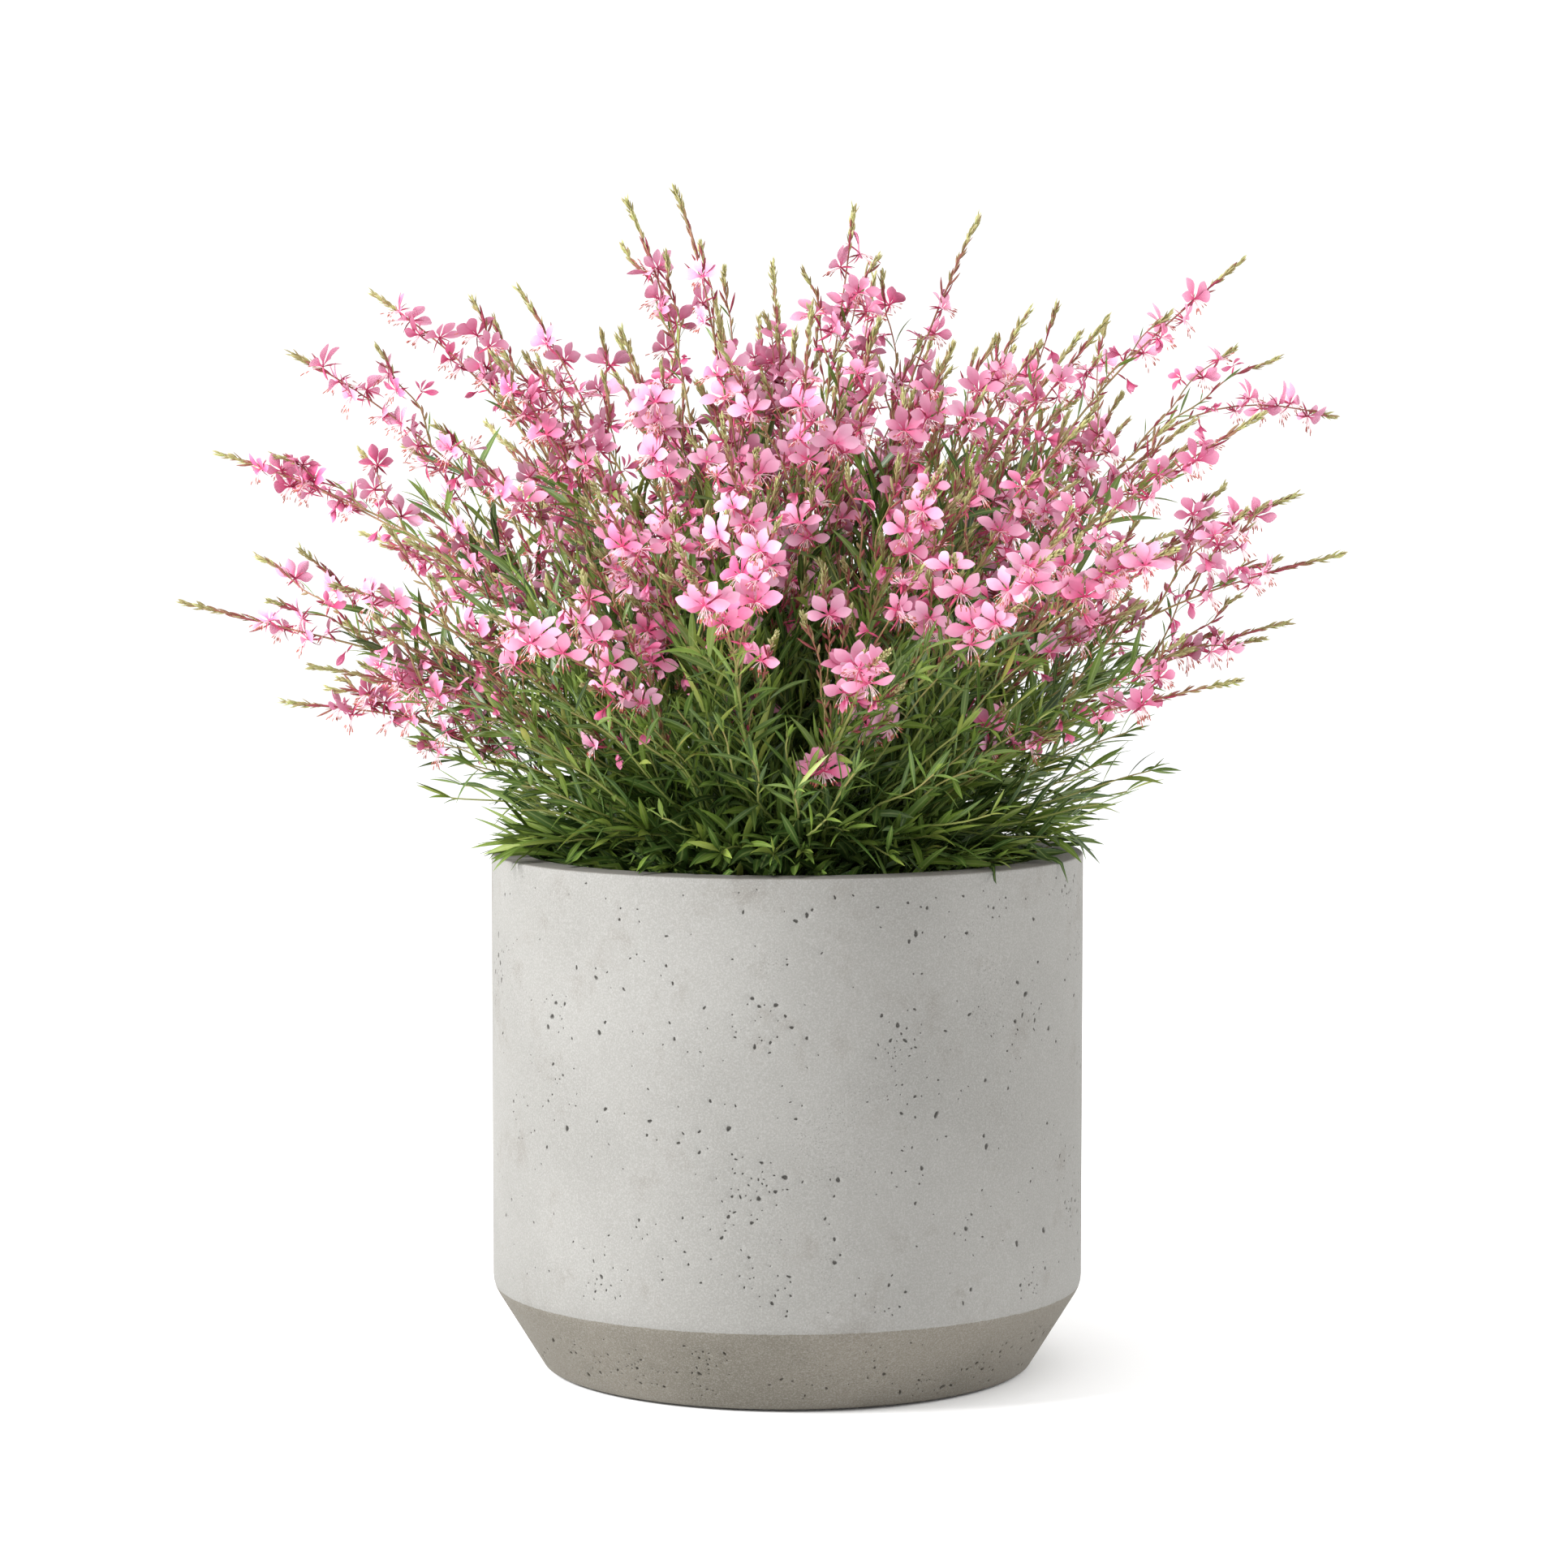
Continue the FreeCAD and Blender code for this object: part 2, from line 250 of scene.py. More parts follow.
LEAF_FORM = [0.12, 0.48, 0.86, 1.00, 0.88, 0.52, 0.05]
PETAL_FORM = [0.11, 0.15, 0.34, 0.72, 0.98, 0.98, 0.70, 0.14]
SEPAL_FORM = [0.45, 0.95, 0.95, 0.60, 0.12]
BUD_FORM = [0.35, 0.75, 1.00, 0.85, 0.20]
BRACT_FORM = [0.60, 1.00, 0.85, 0.12]
THREAD_FORM = [1.0, 0.8, 0.75, 0.75, 0.8, 2.0, 1.6]
COLLAR_FORM = [0.8, 1.0, 0.9, 0.7, 0.45]


# ------------------------------------------------------------------------------ materials


class Paint:
    """A node-based Principled material, put together a line at a time."""

    def __init__(self, name, roughness=0.6, **sockets):
        self.material = bpy.data.materials.new(name)
        self.material.use_nodes = True
        self.nodes = self.material.node_tree.nodes
        self.links = self.material.node_tree.links
        self.shader = self.nodes["Principled BSDF"]
        self.set("Roughness", roughness)
        for key, value in sockets.items():
            self.set(key.replace("_", " "), value)
        self.coords = self.nodes.new("ShaderNodeTexCoord").outputs["Object"]

    def set(self, socket, value):
        self.put(self.shader.inputs[socket], value)

    def put(self, socket, value):
        if isinstance(value, bpy.types.NodeSocket):
            self.links.new(value, socket)
        elif isinstance(value, (tuple, list)) and len(value) == 3 and socket.type == "RGBA":
            socket.default_value = (*value, 1)
        else:
            socket.default_value = value

    def make(self, kind, output, **inputs):
        """One output of a new node whose inputs are set by name."""
        node = self.nodes.new("ShaderNode" + kind)
        for key, value in inputs.items():
            self.put(node.inputs[key], value)
        return node.outputs[output]

    def stretched(self, scale):
        return self.make("Mapping", "Vector", Vector=self.coords, Scale=scale)

    def noise(self, scale, detail=2.0, rough=0.5, coords=None):
        coords = coords or self.coords
        return self.make("TexNoise", "Fac", Vector=coords, Scale=scale, Detail=detail, Roughness=rough)

    def cells(self, scale):
        return self.make("TexVoronoi", "Distance", Vector=self.coords, Scale=scale)

    def attribute(self, axis):
        """One value of the painted vector: 0 tone, 1 along, 2 across."""
        node = self.nodes.new("ShaderNodeAttribute")
        node.attribute_name = "paint"
        return self.make("SeparateXYZ", axis, Vector=node.outputs["Vector"])

    def height(self):
        return self.make("SeparateXYZ", 2, Vector=self.coords)

    def math(self, operation, *values, clamp=False):
        node = self.nodes.new("ShaderNodeMath")
        node.operation = operation
        node.use_clamp = clamp
        for socket, value in zip(node.inputs, values):
            self.put(socket, value)
        return node.outputs[0]

    def varied(self, axis, noise, amount, clamp=False):
        """A painted value, moved up and down by a noise."""
        wander = self.math("MULTIPLY", self.math("SUBTRACT", noise, 0.5), amount)
        return self.math("ADD", self.attribute(axis), wander, clamp=clamp)

    def step(self, value, low, high):
        """0 below low and 1 above high, smooth between."""
        node = self.nodes.new("ShaderNodeMapRange")
        node.interpolation_type = "SMOOTHSTEP"
        self.put(node.inputs["Value"], value)
        node.inputs["From Min"].default_value = low
        node.inputs["From Max"].default_value = high
        return node.outputs["Result"]

    def mix(self, share, a, b, blend="MIX"):
        node = self.nodes.new("ShaderNodeMix")
        node.data_type = "RGBA"
        node.blend_type = blend
        self.put(node.inputs["Factor"], share)
        first, second = [s for s in node.inputs if s.type == "RGBA"]
        self.put(first, a)
        self.put(second, b)
        return [s for s in node.outputs if s.type == "RGBA"][0]

    def ramp(self, value, stops):
        node = self.nodes.new("ShaderNodeValToRGB")
        self.put(node.inputs["Fac"], value)
        while len(node.color_ramp.elements) < len(stops):
            node.color_ramp.elements.new(1.0)
        for element, (position, colour) in zip(node.color_ramp.elements, stops):
            element.position = position
            element.color = (*colour, 1)
        return node.outputs["Color"]

    def bump(self, height, strength, distance, under=None):
        node = self.nodes.new("ShaderNodeBump")
        node.inputs["Strength"].default_value = strength
        node.inputs["Distance"].default_value = distance
        self.put(node.inputs["Height"], height)
        if under:
            self.put(node.inputs["Normal"], under)
        self.set("Normal", node.outputs["Normal"])
        return node.outputs["Normal"]


def concrete():
    p = Paint("cast_concrete", roughness=0.82, Specular_IOR_Level=0.28)
    clouds = p.noise(7, 4, 0.6)
    patches = p.noise(28, 5, 0.65)
    sand = p.noise(900, 3, 0.7)
    # the edge between the foot's tone and the wall's wavers by a millimetre
    edge = p.math("MULTIPLY_ADD", p.noise(160, 3), 0.0012, 0.0571)
    band = p.step(p.math("SUBTRACT", p.height(), edge), -0.00035, 0.00035)
    wall = p.mix(p.step(clouds, 0.36, 0.66), (0.203, 0.1985, 0.184), (0.232, 0.227, 0.212))
    foot = p.mix(p.step(clouds, 0.36, 0.66), (0.124, 0.112, 0.089), (0.156, 0.141, 0.115))
    colour = p.mix(band, foot, wall)
    colour = p.mix(p.step(patches, 0.52, 0.74), colour, (0.84, 0.82, 0.80), "MULTIPLY")
    colour = p.mix(p.math("MULTIPLY", p.step(sand, 0.40, 0.70), 0.10), colour, (0.8, 0.8, 0.78))
    # fine pores stand close together only in some patches of the skin; their darkening is painted shade in
    # the pinholes, and they are also bumped
    crowd = p.step(p.noise(16, 2, 0.5), 0.50, 0.72)
    pores = p.math("SUBTRACT", 1.0, p.step(p.cells(520), 0.10, 0.30))
    pores = p.math("MULTIPLY", pores, crowd)
    # painted shade: the fine pores are darkened
    colour = p.mix(p.math("MULTIPLY", pores, 0.55), colour, (0.45, 0.44, 0.42), "MULTIPLY")
    # open pores, which are modelled, are darkened inside by the paint their mesh carries: painted shade in
    # their hollows
    colour = p.mix(p.attribute(0), colour, (0.52, 0.51, 0.50), "MULTIPLY")
    # the flat of the rim is darkened: painted shade, standing in for the leaves' shadow on it
    painted_rim_shade = p.step(p.height(), HEIGHT - 0.9 * MM, HEIGHT - 0.1 * MM)
    colour = p.mix(painted_rim_shade, colour, (0.72, 0.70, 0.69), "MULTIPLY")
    p.set("Base Color", colour)
    p.set("Roughness", p.math("MULTIPLY_ADD", patches, 0.10, 0.76))
    grain = p.bump(sand, 0.22, 0.0004)
    worn = p.bump(patches, 0.10, 0.0012, grain)
    p.bump(p.math("SUBTRACT", 1.0, pores), 0.35, 0.0005, worn)
    return p.material


def stem_skin():
    p = Paint("stem_skin", roughness=0.52, Specular_IOR_Level=0.35)
    lines = p.noise(60, 3, 0.6, p.stretched((9, 9, 1)))
    p.set("Base Color", p.ramp(p.varied(0, lines, 0.45, clamp=True), [
        (0.0, (0.225, 0.320, 0.075)), (0.42, (0.260, 0.235, 0.080)),
        (0.72, (0.270, 0.120, 0.070)), (1.0, (0.220, 0.052, 0.050)),
    ]))
    p.bump(lines, 0.3, 0.0004)
    return p.material


def leaf_skin():
    p = Paint("leaf_skin", roughness=0.42, Specular_IOR_Level=0.42)
    blotch = p.noise(55, 3, 0.6)
    colour = p.ramp(p.varied(0, blotch, 0.35), [
        (0.0, (0.018, 0.042, 0.008)), (0.35, (0.044, 0.092, 0.015)),
        (0.70, (0.125, 0.195, 0.026)), (0.90, (0.260, 0.310, 0.060)),
        (1.0, (0.420, 0.330, 0.085)),
    ])
    rib = p.math("SUBTRACT", 1.0, p.step(p.attribute(2), 0.02, 0.30))
    colour = p.mix(p.math("MULTIPLY", rib, 0.45), colour, (0.28, 0.34, 0.11))
    p.set("Base Color", colour)
    p.bump(p.noise(420, 2), 0.25, 0.0003)
    return p.material


def petal_skin():
    p = Paint("petal_skin", roughness=0.55, Specular_IOR_Level=0.25)
    veins = p.noise(260, 3, 0.65)
    along = p.varied(1, veins, 0.28)
    pale = p.ramp(along, [
        (0.0, (0.52, 0.035, 0.13)), (0.20, (0.64, 0.130, 0.27)),
        (0.45, (0.67, 0.290, 0.430)), (1.0, (0.75, 0.430, 0.560)),
    ])
    deep = p.ramp(along, [
        (0.0, (0.34, 0.010, 0.055)), (0.30, (0.50, 0.040, 0.14)),
        (0.60, (0.58, 0.100, 0.23)), (1.0, (0.64, 0.200, 0.33)),
    ])
    p.set("Base Color", p.mix(p.attribute(0), pale, deep))
    p.bump(veins, 0.2, 0.0003)
    return p.material


def bud_skin():
    p = Paint("bud_skin", roughness=0.62, Specular_IOR_Level=0.3)
    down = p.noise(500, 2, 0.6)
    tone = p.varied(0, down, 0.30, clamp=True)
    colour = p.ramp(tone, [
        (0.0, (0.335, 0.345, 0.120)), (0.30, (0.270, 0.215, 0.095)),
        (0.60, (0.230, 0.060, 0.055)), (0.85, (0.240, 0.022, 0.050)),
        (1.0, (0.560, 0.070, 0.170)),
    ])
    young = p.math("SUBTRACT", 1.0, p.step(tone, 0.05, 0.38))
    cream = p.math("MULTIPLY", p.step(p.attribute(1), 0.55, 1.0), young)
    p.set("Base Color", p.mix(p.math("MULTIPLY", cream, 0.6), colour, (0.66, 0.62, 0.38)))
    p.bump(down, 0.3, 0.0002)
    return p.material


def thread_skin():
    p = Paint("stamen_thread", roughness=0.5)
    grains = p.noise(900, 2)
    colour = p.ramp(p.attribute(1), [
        (0.0, (0.80, 0.42, 0.50)), (0.60, (0.86, 0.66, 0.68)), (0.76, (0.84, 0.60, 0.60)),
        (0.84, (0.42, 0.10, 0.07)), (1.0, (0.36, 0.08, 0.05)),
    ])
    p.set("Base Color", p.mix(p.step(grains, 0.55, 0.75), colour, (0.75, 0.72, 0.66), "MULTIPLY"))
    return p.material


def earth():
    p = Paint("potting_mix", roughness=0.93, Specular_IOR_Level=0.2)
    crumbs = p.noise(180, 5, 0.7)
    fibre = p.noise(90, 4, 0.7, p.stretched((1, 6, 2)))
    colour = p.ramp(p.varied(0, crumbs, 0.5, clamp=True), [
        (0.0, (0.012, 0.008, 0.006)), (0.45, (0.038, 0.024, 0.015)),
        (0.80, (0.105, 0.060, 0.034)), (1.0, (0.190, 0.120, 0.075)),
    ])
    p.set("Base Color", p.mix(p.step(fibre, 0.62, 0.78), colour, (0.085, 0.055, 0.034)))
    p.bump(crumbs, 0.6, 0.002)
    return p.material


def roots():
    p = Paint("root_mass", roughness=0.9, Specular_IOR_Level=0.2)
    threads = p.noise(70, 6, 0.75, p.stretched((5, 5, 1)))
    colour = p.mix(p.step(threads, 0.48, 0.62), (0.030, 0.019, 0.012), (0.230, 0.165, 0.100))
    p.set("Base Color", colour)
    p.bump(threads, 0.8, 0.002)
    return p.material


def bark():
    p = Paint("crown_bark", roughness=0.85, Specular_IOR_Level=0.25)
    strips = p.noise(120, 5, 0.7, p.stretched((1, 1, 4)))
    p.set("Base Color", p.ramp(strips, [
        (0.30, (0.045, 0.028, 0.017)), (0.55, (0.120, 0.075, 0.045)), (0.75, (0.190, 0.150, 0.070)),
    ]))
    p.bump(strips, 0.6, 0.0015)
    return p.material


def black_plastic():
    p = Paint("pot_plastic", roughness=0.46, Specular_IOR_Level=0.28)
    grain = p.noise(1400, 2)
    dust = p.noise(35, 4, 0.6)
    p.set("Base Color", p.mix(p.step(dust, 0.45, 0.75), (0.010, 0.010, 0.011), (0.017, 0.016, 0.015)))
    p.bump(grain, 0.2, 0.0003)
    return p.material


def rubber(name, dark, worn):
    p = Paint(name, roughness=0.75, Specular_IOR_Level=0.3)
    bloom = p.noise(120, 4, 0.65)
    p.set("Base Color", p.mix(p.step(bloom, 0.42, 0.72), dark, worn))
    p.bump(p.noise(1600, 2), 0.25, 0.0002)
    return p.material


def felt():
    p = Paint("filter_fleece", roughness=0.95, Specular_IOR_Level=0.15, Sheen_Weight=0.3)
    fibres = p.noise(700, 5, 0.8)
    p.set("Base Color", p.ramp(fibres, [(0.3, (0.36, 0.35, 0.33)), (0.7, (0.64, 0.63, 0.60))]))
    p.bump(fibres, 0.6, 0.0006)
    return p.material


def fired_clay():
    p = Paint("clay_pebble", roughness=0.88, Specular_IOR_Level=0.25)
    pores = p.noise(420, 4, 0.7)
    p.set("Base Color", p.ramp(p.varied(0, pores, 0.8, clamp=True), [
        (0.0, (0.15, 0.060, 0.030)), (0.5, (0.33, 0.150, 0.075)), (1.0, (0.47, 0.270, 0.160)),
    ]))
    p.bump(pores, 0.6, 0.0008)
    return p.material


# ------------------------------------------------------------------------ the plant's forms


class Path:
    """A smooth line through points, read by distance from its foot."""

    def __init__(self, points):
        self.points = points
        steps = np.linalg.norm(np.diff(points, axis=0), axis=1)
        self.reach = np.concatenate([[0.0], np.cumsum(steps)])
        self.length = self.reach[-1]
        self.tangents = unit(np.gradient(points, self.reach, axis=0))

    def at(self, distance):
        distance = np.clip(distance, 0, self.length)
        point = np.array([np.interp(distance, self.reach, self.points[:, k]) for k in range(3)])
        tangent = np.array([np.interp(distance, self.reach, self.tangents[:, k]) for k in range(3)])
        return point, unit(tangent)


def keep_clear(points):
    """Lifts points that would sink into the soil, the grow pot's lip or the casting's rim."""
    radius = np.hypot(points[..., 0], points[..., 1])
    over_soil = SOIL_TOP + 3 * MM
    over_rim = HEIGHT + 2.2 * MM
    floor = np.interp(
        radius,
        [
            0.0, 0.150, 0.168, INNER_RADIUS,
            OUTER_RADIUS + 1 * MM, OUTER_RADIUS + 9 * MM, OUTER_RADIUS + 10 * MM,
        ],
        [over_soil, over_soil, LIP_TOP + 3 * MM, over_rim, over_rim, HEIGHT - 20 * MM, 0.0],
    )
    lifted = points.copy()
    lifted[..., 2] = np.maximum(points[..., 2], floor)
    return lifted


def bowed(rng, foot, tip, bow, sway, nod=0.0, stations=34):
    """A stem from foot to tip: it leaves upright, leans out, wanders a little and nods."""
    chord = tip - foot
    length = np.linalg.norm(chord)
    forward = chord / length
    rise = square_to(UP + 1e-6, forward)
    side = np.cross(forward, rise)
    t = np.linspace(0, 1, stations)
    arch = bow * length * 4 * t * (1 - t) * (1.15 - 0.3 * t)
    arch = arch + nod * length * 9.5 * t ** 3 * (1 - t)
    waves = []
    for _ in range(2):
        phase, pitch = rng.uniform(0, math.tau), rng.uniform(0.9, 1.7)
        waves.append(sway * np.sin(math.tau * pitch * t + phase) * np.sin(math.pi * t))
    kinks = 0.12 * sway * np.sin(math.tau * 9 * t + rng.uniform(0, 6)) * np.sin(math.pi * t)
    points = foot + spread(t) * chord + spread(arch + waves[0]) * rise + spread(waves[1] + kinks) * side
    return Path(keep_clear(points))


def spiral(tangent, turns):
    """The direction square to the stem after that many steps of the leaf spiral."""
    reference = np.array([0.31, 0.22, 0.92]) if abs(tangent[2]) < 0.9 else np.array([1.0, 0.13, 0.05])
    side = square_to(reference, tangent)
    other = np.cross(tangent, side)
    return math.cos(turns * GOLDEN) * side + math.sin(turns * GOLDEN) * other


class Growth:
    """Everything that one kind of shoot carries, listed by organ."""

    def __init__(self):
        self.stems = Batch()
        self.leaves = Organs(LEAF_FORM, FOLDED, 0.10)
        self.petals = Organs(PETAL_FORM, CUPPED, 0.05)
        self.sepals = Organs(SEPAL_FORM, FOLDED, 0.35)
        self.buds = Organs(BUD_FORM, ROUND_5, 0)
        self.bracts = Organs(BRACT_FORM, FOLDED, 0.5)
        self.threads = Organs(THREAD_FORM, ROUND_3, 0)

    def stem(self, path, foot_width, tip_width, foot_red, tip_red):
        stations = len(path.points)
        tangent = path.tangents
        reference = np.where(np.abs(tangent[:, 2:3]) < 0.95, UP, np.array([1.0, 0.0, 0.0]))
        across = square_to(np.cross(tangent, reference), tangent)
        above = np.cross(tangent, across)
        t = np.linspace(0, 1, stations)
        half = (foot_width * (1 - t) ** 1.2 + tip_width * (1 - (1 - t) ** 1.2)) / 2
        before = self.stems.count
        line = [values[None] for values in (path.points, across, above, half, half)]
        sweep(self.stems, *line, ROUND_6, [0.0])
        red = foot_red + (tip_red - foot_red) * np.clip(t * 1.6 - 0.50, 0, 1)
        paint = np.zeros((self.stems.count - before, 3))
        paint[:, 0] = np.concatenate([np.repeat(red, 6), red[:1], red[-1:]])
        paint[:, 1] = np.concatenate([np.repeat(t, 6), [0, 1]])
        self.stems.paint[-1] = paint


def leaf_tone(rng, middle, scatter, low, high):
    """How light a leaf is, from dark green at 0 to yellow at 1."""
    return np.clip(rng.normal(middle, scatter), low, high)


def add_leaf(growth, rng, path, distance, turns, length, lean, tone):
    point, tangent = path.at(distance)
    radial = spiral(tangent, turns)
    heading = leaning(tangent, radial, lean) + 0.30 * UP
    droop = rng.uniform(-0.15, 0.65)
    width = length * rng.uniform(0.085, 0.135)
    roll = rng.uniform(-1.2, 1.2)
    growth.leaves.add(point, heading, DOWN + 0.25 * radial, length, width, droop, roll, tone)


def add_flower(growth, rng, path, distance, turns, size=1.0, depth=0.0):
    """An open flower: a slim tube, four clawed petals in the upper half, drooping stamens."""
    point, tangent = path.at(distance)
    radial = spiral(tangent, turns)
    away = unit(np.array([point[0], point[1], 0.0]) + 1e-4)
    heading = unit(0.75 * radial + 0.55 * tangent + 0.45 * away)
    tube = rng.uniform(6, 9) * MM * size
    growth.buds.add(point, heading, DOWN, tube, 1.3 * MM, 0.25, 0, rng.uniform(0.72, 0.98))
    centre = point + heading * tube * 0.97
    out = unit(heading + 0.3 * away + rng.normal(0, 0.34, 3) + 0.10 * DOWN)
    up = square_to(UP + rng.normal(0, 0.16, 3), out)
    side = np.cross(out, up)
    pale = np.clip(rng.normal(0.24, 0.30) + depth, 0.0, 1.0)
    lift = rng.uniform(0.10, 0.55)
    for angle in (-82, -29, 29, 82):
        a = math.radians(angle + rng.normal(0, 7))
        flat = math.cos(a) * up + math.sin(a) * side
        petal = flat * math.cos(lift) + out * math.sin(lift)
        length = rng.uniform(14.0, 17.5) * MM * size
        width = length * rng.uniform(0.45, 0.56)
        curl = rng.uniform(0.15, 0.75)
        growth.petals.add(centre, petal, -out, length, width, curl, rng.normal(0, 0.16), pale)
    for angle in (45, 135, 225, 315):
        a = math.radians(angle + rng.normal(0, 10))
        flat = math.cos(a) * up + math.sin(a) * side
        sepal = flat * 0.75 - out * rng.uniform(0.2, 0.9)
        length = rng.uniform(9, 12) * MM * size
        growth.sepals.add(centre, sepal, -out, length, 1.7 * MM * size, 0.4, 0, rng.uniform(0.86, 1.0))
    for i in range(9):
        a = math.radians(180 + rng.uniform(-75, 75))
        flat = math.cos(a) * up + math.sin(a) * side
        thread = out * rng.uniform(0.45, 0.8) + flat * rng.uniform(0.25, 0.75)
        length = (15 if i == 8 else rng.uniform(9, 13)) * MM * size
        growth.threads.add(centre, thread, DOWN, length, 0.42 * MM, rng.uniform(0.2, 0.8), 0, 0.5)


def add_faded(growth, rng, path, distance, turns):
    """A flower past its day: petals closed up and deep in colour, hanging from its tube."""
    point, tangent = path.at(distance)
    radial = spiral(tangent, turns)
    heading = unit(radial + 0.35 * tangent + rng.normal(0, 0.15, 3))
    growth.buds.add(point, heading, DOWN, 8 * MM, 1.4 * MM, 0.3, 0, rng.uniform(0.75, 1.0))
    centre = point + heading * 7.6 * MM
    for i in range(4):
        hang = unit(heading + 0.7 * DOWN + rng.normal(0, 0.30, 3))
        length = rng.uniform(8, 12.5) * MM
        toward = rng.normal(0, 1, 3)
        width = length * rng.uniform(0.28, 0.5)
        bend, roll, tone = rng.uniform(0.2, 1.1), rng.uniform(-1, 1), rng.uniform(0.75, 1.0)
        growth.petals.add(centre, hang, toward, length, width, bend, roll, tone)


def add_tuft(growth, rng, path, size=1.0):
    """The growing tip: overlapping pale bracts like a small ear of wheat."""
    for i in range(26 if size == 1.0 else 15):
        back = (1.5 + i * rng.uniform(0.65, 0.95)) * MM
        point, tangent = path.at(path.length - back)
        radial = spiral(tangent, i)
        lean = rng.uniform(0.12, 0.62)
        heading = leaning(tangent, radial, lean)
        length, width = rng.uniform(5.0, 8.5) * MM * size, rng.uniform(1.4, 2.2) * MM
        roll, tone = rng.uniform(-1, 1), rng.uniform(0.0, 0.30)
        growth.bracts.add(point, heading, tangent, length, width, 0.25, roll, tone)


def dress_wand(growth, rng, path, budding, flowers, faded, leafy_below, small=1.0):
    """From the tip down: tuft, buds, open flowers, faded flowers, nutlets, then leaves."""
    add_tuft(growth, rng, path, small)
    turns = rng.uniform(0, 10)
    back = 7 * MM
    while back < budding and back < path.length * 0.8:
        share = back / budding
        point, tangent = path.at(path.length - back)
        lean = rng.uniform(0.14, 0.30) + (0.5 * share if rng.random() < 0.18 * share else 0)
        heading = leaning(tangent, spiral(tangent, turns), lean)
        length = (6.5 + 8.5 * share * rng.uniform(0.6, 1.25)) * MM
        width = rng.uniform(1.35, 1.9) * MM
        tone = np.clip(share * 0.8 + rng.normal(0, 0.12), 0, 0.85)
        growth.buds.add(point, heading, tangent, length, width, 0.2, 0, tone)
        if rng.random() < 0.7:
            beside = tangent + 0.45 * spiral(tangent, turns + 0.3)
            length, tone = rng.uniform(5, 10) * MM, rng.uniform(0.05, 0.5)
            growth.bracts.add(point, beside, UP, length, 1.6 * MM, 0.1, 0, tone)
        turns += 1
        back += rng.uniform(2.8, 4.8) * MM
    for _ in range(flowers):
        add_flower(growth, rng, path, path.length - back, turns, size=rng.uniform(0.80, 1.12))
        turns += 1
        back += rng.uniform(8.0, 16.0) * MM
    for _ in range(faded):
        add_faded(growth, rng, path, path.length - back, turns)
        turns += 1
        back += rng.uniform(5, 9) * MM
    while path.length - back > leafy_below * path.length:
        point, tangent = path.at(path.length - back)
        heading = tangent + rng.uniform(0.35, 0.8) * spiral(tangent, turns)
        if rng.random() < 0.6:
            length, width = rng.uniform(6, 10) * MM, rng.uniform(1.5, 2.2) * MM
            growth.buds.add(point, heading, tangent, length, width, 0.1, 0, rng.uniform(0.25, 0.85))
        else:
            length, lean, tone = rng.uniform(9, 22) * MM, rng.uniform(0.3, 0.7), rng.uniform(0.45, 0.85)
            add_leaf(growth, rng, path, path.length - back, turns, length, lean, tone)
        turns += 1
        back += rng.uniform(4, 7) * MM
    distance = leafy_below * path.length
    while distance > 0.10 * path.length:
        share = distance / (leafy_below * path.length + 1e-9)
        length = rng.uniform(24, 54) * MM * (1.15 - 0.45 * share)
        tone = np.clip(rng.normal(0.44, 0.20) + 0.15 * share, 0.03, 0.88)
        add_leaf(growth, rng, path, distance, turns, length, rng.uniform(0.35, 1.10), tone)
        turns += 1
        distance -= rng.uniform(4.6, 9.0) * MM


def clothe(growth, rng, path, start, lengths, leans, gaps, tone, lighter=0.0, shrink=0.0, full=1.0):
    """Leaves along a path from a share of it to its tip, lighter and shorter towards the tip.
    Gives the step that the leaf spiral has come to."""
    turns = rng.uniform(0, 10)
    distance = start * path.length
    while distance < path.length:
        share = distance / path.length
        shade = np.clip(rng.normal(tone, 0.20) + lighter * share, 0.03, 0.90)
        length = rng.uniform(*lengths) * MM * (full - shrink * share)
        add_leaf(growth, rng, path, distance, turns, length, rng.uniform(*leans), shade)
        turns += 1
        distance += rng.uniform(*gaps) * MM
    return turns


def tip_leaves(growth, rng, path, turns, count, step, lengths, leans, tones):
    """The last leaves at a shoot's tip, close together and more upright."""
    for i in range(count):
        length = rng.uniform(*lengths) * MM
        lean = rng.uniform(*leans)
        add_leaf(growth, rng, path, path.length - i * step * MM, turns + i, length, lean, rng.uniform(*tones))


def leafy_branch(growth, rng, path):
    """A short leafy side shoot low on a wand: these fill the plant's green middle."""
    start = path.length * rng.uniform(0.10, 0.52)
    point, tangent = path.at(start)
    lean = rng.uniform(0.25, 0.75)
    aside = spiral(tangent, rng.uniform(0, 10))
    heading = unit(leaning(tangent, aside, lean) + 0.55 * UP)
    branch = bowed(rng, point, point + heading * rng.uniform(55, 125) * MM, 0.06, 2.5 * MM, stations=12)
    growth.stem(branch, 1.6 * MM, 0.9 * MM, 0.0, 0.3)
    turns = clothe(growth, rng, branch, 0.12, (24, 50), (0.25, 1.0), (5.5, 10.0), 0.45, 0.10)
    tip_leaves(growth, rng, branch, turns, 4, 1, (14, 30), (0.1, 0.4), (0.5, 0.85))


